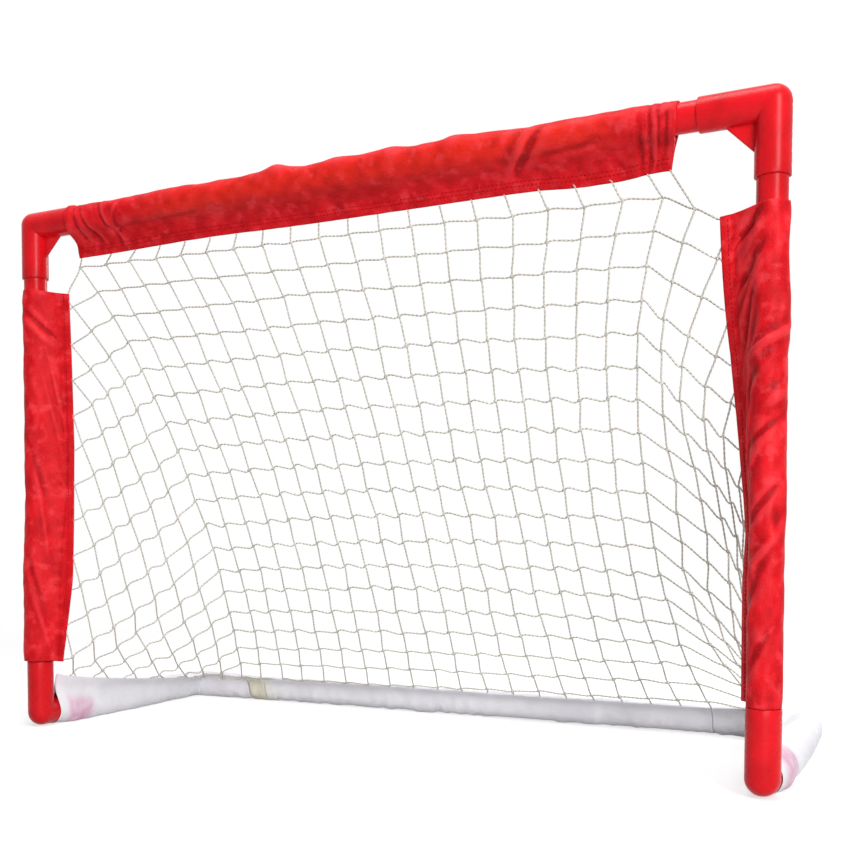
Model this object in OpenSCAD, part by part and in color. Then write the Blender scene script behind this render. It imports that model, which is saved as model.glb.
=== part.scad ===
// Knee hockey goal: a push-fit plastic tube frame, cloth sleeves on the tubes,
// and one piece of square-mesh netting sewn to the sleeves' hems.
// X runs along the goal line, Y runs back from the mouth, Z is up, and z = 0 is
// the floor. The origin is the middle of the goal's footprint.

/* [Goal frame] */
// Distance between the centre lines of the two posts
post_spacing = 686; // [460:1:1200]
// Height of the crossbar's centre line above the base tubes' centre line
crossbar_rise = 477; // [320:1:900]
// Distance of the rear base tube's centre line behind the posts
base_depth = 264; // [200:1:450]

/* [Tubes] */
// Outside diameter of every tube
tube_d = 22; // [18:0.5:30]
// Wall of every tube
tube_wall = 1.6; // [1.2:0.1:2.5]

/* [Elbows] */
// Wall of an elbow's socket around the tube
socket_wall = 1.6; // [1.2:0.05:3]
// Radial play of a tube in its socket
socket_play = 0.1; // [0.05:0.05:0.3]
// Depth to which a tube sits in its socket
socket_depth = 32; // [20:1:50]
// Straight land between a socket's shoulder and the end of a rear elbow's bend
shoulder_land = 4; // [2:0.5:10]
// Radius inside the bend of a rear elbow
inside_corner_r = 2.5; // [1.5:0.5:8]
// Reach of a top elbow's corner web along each leg, past the leg's surface
web_reach = 22.5; // [10:0.5:30]
// Thickness of a top elbow's corner web
web_t = 3; // [2:0.5:6]

/* [Tube couplings] */
// Length of a coupling's spigot inside each half tube
spigot_len = 34; // [20:1:60]
// Radial play of a spigot in its tube
spigot_play = 0.1; // [0.05:0.05:0.3]
// Bore of a coupling
coupling_bore_d = 14; // [8:0.5:14]
// Width of a coupling's collar between the two half tubes
collar_w = 2; // [1:0.5:5]

/* [Sleeves on the crossbar and posts] */
// Thickness of the red sleeve cloth
red_cloth_t = 0.8; // [0.5:0.1:1.2]
// Gap between a tube and the flats of the cloth around it
cloth_gap = 0.3; // [0.2:0.1:1]
// Reach of a hem from its tube's centre line
hem_reach = 36; // [32:1:60]
// Width of the sewn hem, where the two layers lie together
hem_w = 9; // [5:1:14]
// Thickness of a hem's edge
hem_t = 1.6; // [1.2:0.1:3]
// Bare tube between the left elbow's mouth and the crossbar sleeve
crossbar_bare_left = 1; // [0.5:0.5:30]
// Bare tube between the right elbow's mouth and the crossbar sleeve
crossbar_bare_right = 20; // [0.5:0.5:30]
// Angle of the crossbar's hem behind straight down
crossbar_hem_angle = 30; // [10:1:45]
// Bare tube between a top elbow's mouth and the post sleeve
post_sleeve_drop = 15; // [4:1:40]
// Gap between a post sleeve's lower end and the foot elbow's mouth
post_sleeve_lift = 0.5; // [0.3:0.1:20]
// Turn of a post's hem from straight inward at the top to its foot
post_hem_turn = 40; // [20:1:60]
// How far a post's hem draws in over its last stretch above the foot
post_hem_draw = 8; // [0:1:12]

/* [Base sleeves] */
// Thickness of the white sleeve cloth
white_cloth_t = 0.6; // [0.4:0.1:1]
// Thickness of the cloth pressed flat on the floor
floor_cloth_t = 0.5; // [0.3:0.1:0.8]
// Outside radius of the slack cloth around a side tube
side_sleeve_r = 17.2; // [17:0.1:20]
// Extra outside radius of the cloth over a tube, past the cloth's thickness
snug_slack = 1.25; // [1.2:0.05:3]
// Reach of a side hem from the tube's centre line at the foot
side_hem_reach = 38; // [32:1:45]
// Lean of a side hem inward from upright at the foot
side_hem_lean = 12; // [0:1:20]
// Reach of the hem from the tube's centre line from the side seam backwards
corner_hem_reach = 33; // [28:1:40]
// Lean of the hem inward from upright at the side seam
corner_hem_lean = 64; // [30:1:66]
// Reach of the rear hem from the tube's centre line
rear_hem_reach = 30; // [26:1:40]
// Lean of the rear hem forward from upright
rear_hem_lean = 60; // [30:1:64]
// Start of a side sleeve behind the post's centre line
side_sleeve_start = 17; // [15:1:40]
// Distance of the side seam in front of the rear tube's centre line
side_seam = 52; // [48:1:70]
// Distance of the rear seam from the side tube's centre line
rear_seam = 83; // [60:1:100]
// Depth of the cloth's main folds on every sleeve
fold_depth = 1.2; // [0.4:0.1:2]

/* [Tape and label] */
// Width of the tape that closes the rear sleeve beside its seam
tape_w = 21; // [10:1:30]
// Thickness of the tape
tape_t = 0.6; // [0.4:0.1:1.5]
// Width of the sewn-in label
label_w = 13; // [8:1:24]
// Thickness of the label
label_t = 0.5; // [0.3:0.1:1]

/* [Net] */
// Width of a net cord
cord_w = 2.4; // [1.6:0.1:4]
// Inset of the net's top corners from the ends of the crossbar's hem
net_top_inset = 5; // [2:1:30]
// Distance of the net's lower corners from the side tubes' centre lines
net_base_inset = 74; // [60:1:100]
// How far the net's middle swings towards the right post
net_swing = 19; // [0:1:24]
// How far the corner lines are drawn inward
net_draw_in = 41; // [0:1:50]
// How far the corner lines droop
net_droop = 95; // [0:1:100]
// Gaps across the net's back
net_columns = 12; // [8:1:13]
// Gaps from the crossbar's hem to the rear hem
net_rows = 11; // [8:1:12]
// Size of a gap in the net's sides
side_gap = 46; // [44:1:80]

/* [Hidden] */
$fn = 28;

// Frame
half_w = post_spacing / 2;
tube_r = tube_d / 2;
bore_r = tube_r - tube_wall;
elbow_r = tube_r + socket_play + socket_wall;
bend_r = elbow_r + inside_corner_r;
socket_end = bend_r + shoulder_land;
elbow_leg = socket_end + socket_depth;
cloth_floor_gap = 0.3;
base_z = elbow_r + floor_cloth_t + cloth_floor_gap;
top_z = base_z + crossbar_rise;

// Red sleeves: the inscribed circle of the cloth's inner faces clears the tube
red_chord_fit = 0.9636;
red_in_r = (tube_r + cloth_gap) / red_chord_fit;

// Base sleeves: the inscribed circle of the cloth's inner faces clears what it covers
base_chord_fit = 0.935;
snug_tube_r = (tube_r + cloth_gap) / base_chord_fit + white_cloth_t;
snug_elbow_r = elbow_r + white_cloth_t + snug_slack;
front_y = (red_in_r + red_cloth_t + 0.75 * fold_depth - snug_elbow_r - base_depth) / 2;
rear_y = front_y + base_depth;
seam_gap = 0.3;
slit_t = 0.2;
post_sleeve_top = top_z - elbow_leg - post_sleeve_drop;
post_sleeve_foot = base_z + elbow_leg + post_sleeve_lift;

red = [0.85, 0.09, 0.12];
white_plastic = [0.93, 0.93, 0.92];
white_cloth = [0.91, 0.90, 0.94];
cord_colour = [0.83, 0.82, 0.77];

// ---------------------------------------------------------------- helpers

function mix(a, b, t) = a + (b - a) * t;
function unit(v) = v / norm(v);
function clip01(t) = max(0, min(1, t));
function ease(t) = let (s = clip01(t)) s * s * (3 - 2 * s);

// Faces of a tube-shaped skin: rings of n outer and n inner points, in turn
function skin_faces(rings, n) = concat(
    [for (i = [0:rings - 2], k = [0:n - 1], tri = [0, 1])
        let (a = i * 2 * n, b = a + 2 * n, k2 = (k + 1) % n)
        tri == 0 ? [a + k, b + k, b + k2] : [a + k, b + k2, a + k2]],
    [for (i = [0:rings - 2], k = [0:n - 1], tri = [0, 1])
        let (a = i * 2 * n + n, b = a + 2 * n, k2 = (k + 1) % n)
        tri == 0 ? [a + k, b + k2, b + k] : [a + k, a + k2, b + k2]],
    [for (k = [0:n - 1], tri = [0, 1])
        let (k2 = (k + 1) % n)
        tri == 0 ? [k, k2, n + k2] : [k, n + k2, n + k]],
    [for (k = [0:n - 1], tri = [0, 1])
        let (a = (rings - 1) * 2 * n, k2 = (k + 1) % n)
        tri == 0 ? [a + k, a + n + k2, a + k2] : [a + k, a + n + k, a + n + k2]]
);

// ---------------------------------------------------------------- frame

// Elbow with its corner at the origin and its legs along +X and +Z.
// A rear elbow is bent; the others have a square corner under a ball.
module elbow(bent = false, web = false) {
    difference() {
        union() {
            elbow_body(elbow_r, elbow_leg, bent);
            if (web)
                rotate([90, 0, 0])
                    linear_extrude(web_t, center = true)
                        polygon([[bore_r, bore_r], [elbow_r + web_reach, bore_r],
                                 [elbow_r + web_reach, elbow_r], [elbow_r, elbow_r + web_reach],
                                 [bore_r, elbow_r + web_reach]]);
        }
        elbow_body(bore_r, elbow_leg + 1, bent);
        for (turn = [0, -90])
            rotate([0, turn + 90, 0])
                translate([0, 0, socket_end])
                    cylinder(r = tube_r + socket_play, h = socket_depth + 1);
    }
}

// Round bar of radius r through the elbow's corner
module elbow_body(r, leg, bent) {
    leg_start = bent ? bend_r : 0;
    if (bent)
        translate([bend_r, 0, bend_r])
            rotate([90, 0, 0])
                rotate_extrude(angle = 90, start = 180)
                    translate([bend_r, 0])
                        circle(r);
    else
        sphere(r);
    for (turn = [0, -90])
        rotate([0, turn + 90, 0])
            translate([0, 0, leg_start])
                cylinder(r = r, h = leg - leg_start);
}

// Tube from one point to the next along an axis turn, between two socket shoulders
module tube(length) {
    difference() {
        cylinder(r = tube_r, h = length);
        translate([0, 0, -1])
            cylinder(r = bore_r, h = length + 2);
    }
}

// Half of a cross tube: from the middle collar to the right elbow's shoulder
module half_cross_tube() {
    translate([collar_w / 2, 0, 0])
        rotate([0, 90, 0])
            tube(half_w - socket_end - collar_w / 2);
}

// Coupling with its collar at the origin, along X
module coupling() {
    rotate([0, 90, 0])
        difference() {
            union() {
                cylinder(r = bore_r - spigot_play, h = 2 * spigot_len + collar_w, center = true);
                cylinder(r = tube_r, h = collar_w, center = true);
            }
            cylinder(d = coupling_bore_d, h = 2 * spigot_len + collar_w + 2, center = true);
        }
}

module side_x(sign) {
    if (sign > 0) children();
    else mirror([1, 0, 0]) children();
}

module top_elbow(sign) {
    color(red)
        side_x(sign)
            translate([half_w, front_y, top_z])
                rotate([0, 180, 0])
                    elbow(web = true);
}

module foot_elbow(sign) {
    color(red)
        side_x(sign)
            translate([half_w, front_y, base_z])
                rotate([0, 0, 90])
                    elbow();
}

module rear_elbow(sign) {
    color(white_plastic)
        side_x(sign)
            translate([half_w, rear_y, base_z])
                rotate([90, 0, 0])
                    mirror([1, 0, 0])
                        elbow(bent = true);
}

module crossbar_tube(sign) {
    color(red)
        side_x(sign)
            translate([0, front_y, top_z])
                half_cross_tube();
}

module crossbar_coupling() {
    color(red)
        translate([0, front_y, top_z])
            coupling();
}

module post_tube(sign) {
    color(red)
        side_x(sign)
            translate([half_w, front_y, base_z + socket_end])
                tube(crossbar_rise - 2 * socket_end);
}

module side_tube(sign) {
    color(white_plastic)
        side_x(sign)
            translate([half_w, front_y + socket_end, base_z])
                rotate([-90, 0, 0])
                    tube(base_depth - 2 * socket_end);
}

module rear_tube(sign) {
    color(white_plastic)
        side_x(sign)
            translate([0, rear_y, base_z])
                half_cross_tube();
}

module rear_coupling() {
    color(white_plastic)
        translate([0, rear_y, base_z])
            coupling();
}

// ---------------------------------------------------------------- red sleeves

// Cross-section of a red sleeve: [towards the hem, across], round the tube and to the hem
RED_N = 12;
function red_loop(r, tangent, reach, stitch, edge, slit, puff) = concat(
    [for (k = [0:7])
        let (a = k < 4 ? mix(tangent, 165, k / 3) : mix(195, 360 - tangent, (k - 4) / 3))
        (r + puff * (1 - cos(a)) / 2) * [cos(a), sin(a)]],
    [[stitch, -slit / 2], [reach, -edge / 2], [reach, edge / 2], [stitch, slit / 2]]
);

// One ring of a red sleeve: outer loop, then inner loop
function red_ring(centre, to_hem, across, reach, puff, sway) =
    let (
        tangent = acos(red_in_r / hem_reach),
        stitch = reach - hem_w,
        inner_r = red_in_r + puff * (1 - cos(tangent)) / 2,
        outer = red_loop(red_in_r + red_cloth_t, tangent, reach, stitch, hem_t, hem_t, puff),
        inner = red_loop(red_in_r, tangent, stitch, mix(inner_r * cos(tangent), stitch, 0.5),
                         slit_t, inner_r * sin(tangent) + slit_t / 2, puff)
    )
    [for (p = concat(outer, inner))
        centre + to_hem * p.x + across * (p.y + sway * clip01(p.x / hem_reach))];

crossbar_left = -half_w + elbow_leg + crossbar_bare_left;
crossbar_right = half_w - elbow_leg - crossbar_bare_right;
crossbar_mid = (crossbar_left + crossbar_right) / 2;
crossbar_rings = 16;
crossbar_fold = 94;
crossbar_to_hem = [0, sin(crossbar_hem_angle), -cos(crossbar_hem_angle)];
crossbar_across = [0, cos(crossbar_hem_angle), sin(crossbar_hem_angle)];
function crossbar_x(t) = mix(crossbar_left, crossbar_right, t);
// Slack cloth stands up off the bar in the middle and is gathered near both ends
function crossbar_puff(t) = fold_depth * (1 + sin(360 * crossbar_x(t) / crossbar_fold)) / 2;
function crossbar_sway(t) = 1.5 * fold_depth * sin(360 * crossbar_x(t) / (1.7 * crossbar_fold));
function crossbar_hem_point(x) =
    [x, front_y, top_z] + crossbar_to_hem * hem_reach;

module crossbar_sleeve() {
    points = [for (i = [0:crossbar_rings - 1])
        let (t = i / (crossbar_rings - 1))
        each red_ring([crossbar_x(t), front_y, top_z], crossbar_to_hem, crossbar_across,
                      hem_reach, crossbar_puff(t), crossbar_sway(t))];
    color(red)
        polyhedron(points, skin_faces(crossbar_rings, RED_N), convexity = 6);
}

post_rings = 10;
post_fold = 130;
function post_z(t) = mix(post_sleeve_top, post_sleeve_foot, t);
function post_turn(t) = post_hem_turn * ease(t * 1.15);
function post_reach(t) = hem_reach - post_hem_draw * ease((t - 0.7) / 0.3);
function post_to_hem(t) = [-cos(post_turn(t)), sin(post_turn(t)), 0];
function post_across(t) = [sin(post_turn(t)), cos(post_turn(t)), 0];
// Diagonal folds run down the post
function post_puff(t) = fold_depth * (1 + sin(360 * post_z(t) / post_fold)) / 2;
function post_sway(t) = fold_depth * sin(360 * post_z(t) / (0.8 * post_fold));
function post_hem_point(t) =
    [half_w, front_y, post_z(t)] + post_to_hem(t) * post_reach(t);

module post_sleeve(sign) {
    points = [for (i = [0:post_rings - 1])
        let (t = i / (post_rings - 1))
        each red_ring([half_w, front_y, post_z(t)], post_to_hem(t), post_across(t),
                      post_reach(t), post_puff(t), post_sway(t))];
    color(red)
        side_x(sign)
            polyhedron(points, skin_faces(post_rings, RED_N), convexity = 6);
}

// ---------------------------------------------------------------- base sleeves

// Cross-section of a base sleeve: [outward, up], slack on the floor, with its hem leaning inward
BASE_N = 14;
FLOOR_A = 165;
function base_angles(lean, tangent) =
    let (a = lean + tangent, b = 360 + lean - tangent)
    [a, mix(a, FLOOR_A, 1 / 3), mix(a, FLOOR_A, 2 / 3), FLOOR_A, 360 - FLOOR_A, 232.5, 270,
     mix(270, b, 1 / 3), mix(270, b, 2 / 3), b];
function lean_point(lean, along, across) =
    [across * cos(lean) - along * sin(lean), along * cos(lean) + across * sin(lean)];
function base_loop(r, reach, stitch, lean, tangent, edge, slit, floor_z) = concat(
    [for (a = base_angles(lean, tangent))
        [-r * sin(a), a == FLOOR_A || a == 360 - FLOOR_A ? floor_z - base_z
                                                         : max(r * cos(a), floor_z - base_z)]],
    [lean_point(lean, stitch, slit / 2), lean_point(lean, reach, edge / 2),
     lean_point(lean, reach, -edge / 2), lean_point(lean, stitch, -slit / 2)]
);

// The base line: the side from the post back, round the corner, and along the rear
side_end = base_depth - side_seam;
rear_half = half_w - rear_seam;

// Slack round the corner's chords, and the tightest turn of the cloth in its mitre
corner_slack = 1.03;
mitre_r = 1;

// Stations of the right half: ["side", y], ["corner", angle] and ["rear", x]
function base_point(station, out, up) =
    station[0] == "side" ? [half_w + out, front_y + station[1], base_z + up]
    : station[0] == "rear" ? [station[1], rear_y + out, base_z + up]
    : let (
        r = max(bend_r + out, mitre_r),
        c = out - r,
        s = station[1] % 90 == 0 ? r : r * corner_slack
    )
        [half_w + c + s * cos(station[1]), rear_y + c + s * sin(station[1]), base_z + up];

// Share of the way from the foot to the side seam, and from the corner to the rear seam
function side_share(station) =
    station[0] == "side" ? clip01((station[1] - side_sleeve_start) / (side_end - side_sleeve_start)) : 1;
function rear_share(station) = station[0] == "rear"
    ? clip01((half_w - elbow_leg - abs(station[1])) / (rear_seam - elbow_leg)) : 0;
function corner_share(station) =
    station[0] == "side" ? 0 : station[0] == "corner" ? station[1] / 90 : 1;
function base_hem_reach(station) = station[0] == "side"
    ? mix(side_hem_reach, corner_hem_reach, side_share(station))
    : mix(corner_hem_reach, rear_hem_reach, rear_share(station));
function base_hem_lean(station) = station[0] == "side"
    ? mix(side_hem_lean, corner_hem_lean, sqrt(side_share(station)))
    : mix(corner_hem_lean, rear_hem_lean, corner_share(station));
function base_r(station) = station[0] == "side"
    ? mix(side_sleeve_r, snug_elbow_r, ease((side_share(station) - 0.6) / 0.4))
    : mix(snug_elbow_r, snug_tube_r, rear_share(station));
function base_hem_point(station, gap) =
    let (p = lean_point(base_hem_lean(station), base_hem_reach(station) + gap, 0))
    base_point(station, p.x, p.y);

// Every other station of a long run stands proud, as the cloth's ring folds do
function ring_fold(i, station) =
    station[0] == "corner" || i % 2 == 0 ? 0
    : station[0] == "side" ? -0.4 * fold_depth * (1 - side_share(station)) : 0.5 * fold_depth;

function base_ring(station, fold) =
    let (
        r = base_r(station) + fold,
        reach = base_hem_reach(station),
        stitch = reach - hem_w,
        lean = base_hem_lean(station),
        tangent = acos(r / reach),
        inner_r = r - white_cloth_t,
        outer = base_loop(r, reach, stitch, lean, tangent, hem_t, hem_t, 0),
        inner = base_loop(inner_r, stitch, mix(inner_r * cos(tangent), stitch, 0.5), lean, tangent,
                          slit_t, inner_r * sin(tangent) + slit_t / 2, floor_cloth_t)
    )
    [for (p = concat(outer, inner)) base_point(station, p.x, p.y)];

module base_skin(stations, folds = true) {
    points = [for (i = [0:len(stations) - 1])
        each base_ring(stations[i], folds ? ring_fold(i, stations[i]) : 0)];
    color(white_cloth)
        polyhedron(points, [for (f = skin_faces(len(stations), BASE_N)) [f[0], f[2], f[1]]],
                   convexity = 8);
}

side_steps = 6;
rear_steps = 8;
side_stations = [for (i = [0:side_steps])
    ["side", mix(side_sleeve_start, side_end - seam_gap / 2, i / side_steps)]];
corner_stations = [
    ["side", side_end + seam_gap / 2], ["side", base_depth - elbow_leg / 2 - bend_r],
    ["corner", 0], ["corner", 22.5], ["corner", 45], ["corner", 67.5], ["corner", 90],
    ["rear", half_w - elbow_leg], ["rear", rear_half + seam_gap / 2]
];
rear_stations = [for (i = [0:rear_steps])
    ["rear", (rear_half - seam_gap / 2) * (1 - 2 * i / rear_steps)]];

module side_sleeve(sign) {
    side_x(sign) base_skin(side_stations);
}

module corner_sleeve(sign) {
    side_x(sign) base_skin(corner_stations, false);
}

module rear_sleeve() {
    base_skin(rear_stations);
}

// Strips on the rear sleeve's front, from its hem down to the floor, beside the left seam
tape_end = -rear_half + seam_gap + 1;
strip_rest = fold_depth / 2 + 0.3;
function strip_side(lift) =
    let (
        r = snug_tube_r + lift,
        stitch = rear_hem_reach - hem_w,
        tangent = acos(snug_tube_r / rear_hem_reach),
        a = rear_hem_lean + tangent
    )
    concat(
        [lean_point(rear_hem_lean, rear_hem_reach - 1, -hem_t / 2 - lift),
         lean_point(rear_hem_lean, stitch, -hem_t / 2 - lift)],
        [for (k = [0:2]) let (b = mix(a, FLOOR_A - 12, k / 2)) r * [-sin(b), cos(b)]]
    );

module strip(width, thickness) {
    near = strip_side(strip_rest);
    far = strip_side(strip_rest + thickness);
    rotate([90, 0, 90])
        linear_extrude(width)
            polygon(concat(near, [for (k = [len(far) - 1:-1:0]) far[k]]));
}

module closure_tape() {
    color([0.86, 0.84, 0.73])
        translate([tape_end, rear_y, base_z])
            strip(tape_w, tape_t);
}

module sewn_label() {
    color("white")
        translate([tape_end + tape_w + 0.5, rear_y, base_z])
            strip(label_w, label_t);
}

// ---------------------------------------------------------------- net

hem_gap = 0.3;

// Ends and control points of a corner line of the symmetrical net, on the right
rear_hem = ["rear", 0];
net_top_half = (crossbar_right - crossbar_left) / 2 - net_top_inset;
net_base_half = half_w - net_base_inset;
corner_ends = [
    crossbar_hem_point(net_top_half) + crossbar_to_hem * hem_gap,
    base_hem_point(rear_hem, hem_gap) + [net_base_half, 0, 0]
];
corner_controls = [
    corner_ends[0],
    mix(corner_ends[0], corner_ends[1], 1 / 3) - [2 * net_draw_in, 0.77 * net_droop, 0.25 * net_droop],
    mix(corner_ends[0], corner_ends[1], 2 / 3) - [net_draw_in, 0, net_droop],
    corner_ends[1]
];
function curve(p, t) =
    let (s = 1 - t) s * s * s * p[0] + 3 * s * s * t * p[1] + 3 * s * t * t * p[2] + t * t * t * p[3];
function running(steps, i = 0, sum = 0) =
    i == len(steps) ? [] : concat([sum], running(steps, i + 1, sum + steps[i]));

// Curve parameter for a share of the line's length
corner_steps = 48;
corner_lengths = running(concat(
    [for (i = [0:corner_steps - 1])
        norm(curve(corner_controls, (i + 1) / corner_steps) - curve(corner_controls, i / corner_steps))],
    [0]));
corner_table = [for (i = [0:corner_steps])
    [corner_lengths[i] / corner_lengths[corner_steps], i / corner_steps]];

// Corner line from the crossbar's hem, t = 0, to the rear hem, t = 1; sign -1 left and 1 right
function net_corner(sign, t) =
    let (p = curve(corner_controls, lookup(t, corner_table)))
    [sign * p.x + crossbar_mid + 4 * t * (1 - t) * net_swing, p.y, p.z];

// The side net's outer edge: down the post's hem and round the base hem
post_share = 0.66;
side_share_end = 0.94;
hem_corner_y = base_depth - corner_hem_reach * sin(corner_hem_lean);
function edge_station(t) =
    ["side", mix(side_sleeve_start, hem_corner_y, (t - post_share) / (side_share_end - post_share))];
function right_edge(t) =
    t < post_share
    ? post_hem_point(t / post_share) + post_to_hem(t / post_share) * hem_gap
    : t < side_share_end ? base_hem_point(edge_station(t), hem_gap)
    : mix(base_hem_point(edge_station(side_share_end), hem_gap), corner_ends[1],
          (t - side_share_end) / (1 - side_share_end));
function net_edge(sign, t) = let (p = right_edge(t)) [sign * p.x, p.y, p.z];

// Way through the net's cords: square to each hem's end edge, and blended between hems
function back_way(t) = unit(mix(crossbar_across, [0, cos(rear_hem_lean), sin(rear_hem_lean)], t));
function edge_way(t) =
    let (lean = base_hem_lean(edge_station(t)))
    t < post_share ? post_across(t / post_share)
    : t < side_share_end ? [cos(lean), 0, sin(lean)] : back_way(1);
function net_way(sign, t, share) =
    let (w = unit(mix(back_way(t), edge_way(t), clip01(share)))) [sign * w.x, w.y, w.z];

// A lattice of cords: knots, the way through it at each knot, and the gaps' corner lists.
// Each gap is framed by half of the cords round it, so neighbouring gaps share whole cords.
function gap_inset(knots, gap) =
    let (middle = [for (i = gap) 1] * [for (i = gap) knots[i]] / len(gap))
    [for (i = gap) knots[i] + unit(middle - knots[i]) * cord_w * (len(gap) > 3 ? 0.72 : 1)];

module lattice(knots, ways, gaps) {
    n = len(knots);
    half = cord_w / 2;
    sizes = [for (g = gaps) len(g)];
    starts = running(sizes);
    total = starts[len(starts) - 1] + sizes[len(sizes) - 1];
    insets = [for (g = gaps) each gap_inset(knots, g)];
    inset_ways = [for (g = gaps) each [for (i = g) ways[i]]];
    points = concat(
        [for (i = [0:n - 1]) knots[i] + ways[i] * half],
        [for (i = [0:n - 1]) knots[i] - ways[i] * half],
        [for (i = [0:total - 1]) insets[i] + inset_ways[i] * half],
        [for (i = [0:total - 1]) insets[i] - inset_ways[i] * half]
    );
    edges = [for (g = gaps, k = [0:len(g) - 1]) [g[k], g[(k + 1) % len(g)]]];
    marks = [for (e = edges) e[0] * n + e[1]];
    rim = [for (e = edges) if (len(search(e[1] * n + e[0], marks)) == 0) e];
    faces = concat(
        [for (c = [0:len(gaps) - 1], k = [0:sizes[c] - 1], tri = [0:5])
            let (
                k2 = (k + 1) % sizes[c],
                a = gaps[c][k], b = gaps[c][k2],
                ia = 2 * n + starts[c] + k, ib = 2 * n + starts[c] + k2
            )
            tri == 0 ? [a, ib, b] : tri == 1 ? [a, ia, ib]
            : tri == 2 ? [n + a, n + b, ib + total] : tri == 3 ? [n + a, ib + total, ia + total]
            : tri == 4 ? [ia, ib + total, ib] : [ia, ia + total, ib + total]],
        [for (e = rim, tri = [0, 1])
            tri == 0 ? [e[1], n + e[0], e[0]] : [e[1], n + e[1], n + e[0]]]
    );
    color(cord_colour)
        polyhedron(points, faces, convexity = 10);
}

module net_back() {
    columns = net_columns;
    knots = [for (j = [0:net_rows], i = [0:columns])
        mix(net_corner(-1, j / net_rows), net_corner(1, j / net_rows), i / columns)];
    ways = [for (j = [0:net_rows], i = [0:columns]) back_way(j / net_rows)];
    gaps = [for (j = [0:net_rows - 1], i = [0:columns - 1])
        let (a = j * (columns + 1) + i) [a, a + 1, a + columns + 2, a + columns + 1]];
    lattice(knots, ways, gaps);
}

// The side net's first and last rows, as shares of the corner line
side_first = 0.03;
side_last = 0.965;

// Knots along one row of a side net: gaps of one size, and the last knot on the hem
function side_row(sign, t) =
    let (
        inner = net_corner(sign, t) + [sign * hem_gap, 0, 0],
        outer = net_edge(sign, t),
        n = max(1, round(norm(outer - inner) / side_gap))
    )
    [for (k = [0:n]) k == n ? outer : inner + unit(outer - inner) * side_gap * k];

module net_side(sign) {
    shares = [for (j = [0:net_rows]) mix(side_first, side_last, j / net_rows)];
    rows = [for (t = shares) side_row(sign, t)];
    firsts = running([for (r = rows) len(r)]);
    knots = [for (r = rows) each r];
    ways = [for (j = [0:net_rows]) each
        let (n = len(rows[j]) - 1) [for (k = [0:n]) net_way(sign, shares[j], k / n)]];
    gaps = [for (j = [0:net_rows - 1])
        let (
            a = firsts[j], b = firsts[j + 1],
            na = len(rows[j]) - 1, nb = len(rows[j + 1]) - 1, m = min(na, nb)
        )
        each concat(
            [for (k = [0:1:m - 1]) [a + k, a + k + 1, b + k + 1, b + k]],
            [for (k = [m:1:na - 1]) [a + k, a + k + 1, b + m]],
            [for (k = [m:1:nb - 1]) [a + m, b + k + 1, b + k]]
        )];
    lattice(knots, ways, sign > 0 ? gaps : [for (g = gaps) [for (k = [len(g) - 1:-1:0]) g[k]]]);
}

// ---------------------------------------------------------------- assembly

top_elbow(-1);  // top_elbow_left
top_elbow(1);  // top_elbow_right
foot_elbow(-1);  // foot_elbow_left
foot_elbow(1);  // foot_elbow_right
rear_elbow(-1);  // rear_elbow_left
rear_elbow(1);  // rear_elbow_right
crossbar_tube(-1);  // crossbar_tube_left
crossbar_tube(1);  // crossbar_tube_right
crossbar_coupling();
post_tube(-1);  // post_tube_left
post_tube(1);  // post_tube_right
side_tube(-1);  // side_tube_left
side_tube(1);  // side_tube_right
rear_tube(-1);  // rear_tube_left
rear_tube(1);  // rear_tube_right
rear_coupling();
crossbar_sleeve();
post_sleeve(-1);  // post_sleeve_left
post_sleeve(1);  // post_sleeve_right
side_sleeve(-1);  // side_sleeve_left
side_sleeve(1);  // side_sleeve_right
corner_sleeve(-1);  // corner_sleeve_left
corner_sleeve(1);  // corner_sleeve_right
rear_sleeve();
closure_tape();
sewn_label();
net_back();
net_side(-1);  // net_side_left
net_side(1);  // net_side_right
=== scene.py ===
"""Looks of a small push-fit goal: a glossy tube frame, sleeves sewn round its tubes and a knotted net.

Every size is in metres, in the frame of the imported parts: +X along the goal line, +Y back, +Z up.
"""
import logging
import math
from dataclasses import dataclass, field
from enum import Enum
from typing import Any, Sequence

import bmesh
import bpy
import numpy as np
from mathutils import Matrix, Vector, noise


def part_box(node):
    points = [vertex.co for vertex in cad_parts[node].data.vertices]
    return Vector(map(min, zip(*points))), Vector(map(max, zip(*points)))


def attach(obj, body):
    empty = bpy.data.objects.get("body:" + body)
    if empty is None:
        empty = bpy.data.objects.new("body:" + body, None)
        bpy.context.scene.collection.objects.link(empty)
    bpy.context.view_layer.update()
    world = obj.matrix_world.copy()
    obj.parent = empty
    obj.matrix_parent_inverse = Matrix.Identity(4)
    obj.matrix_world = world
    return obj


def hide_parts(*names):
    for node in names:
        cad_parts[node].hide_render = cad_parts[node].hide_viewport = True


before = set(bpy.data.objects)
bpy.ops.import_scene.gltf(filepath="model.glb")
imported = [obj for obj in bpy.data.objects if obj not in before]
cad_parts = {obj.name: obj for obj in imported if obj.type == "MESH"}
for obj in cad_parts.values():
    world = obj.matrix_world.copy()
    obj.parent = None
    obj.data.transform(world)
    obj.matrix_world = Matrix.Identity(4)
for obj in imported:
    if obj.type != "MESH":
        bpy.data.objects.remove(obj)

log = logging.getLogger("goal")
MM = 0.001
BODY = "root"
Array = np.ndarray
Tree = bpy.types.NodeTree
Piece = bpy.types.Object
Form = bmesh.types.BMesh
Triple = tuple[Array, Array, Array]
Pairs = tuple[tuple[float, float], ...]
SIDES = {-1: "left", 1: "right"}


# ---------------------------------------------------------------- numbers and curves

def mix(a: Any, b: Any, t: Any) -> Any:
    """Return the value a share t of the way from a to b."""
    return a + (b - a) * t


def ease(t: Any) -> Any:
    """Return the smooth step of t, held at 0 and 1 outside that range."""
    held = np.clip(t, 0.0, 1.0)
    return held * held * (3.0 - 2.0 * held)


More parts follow.
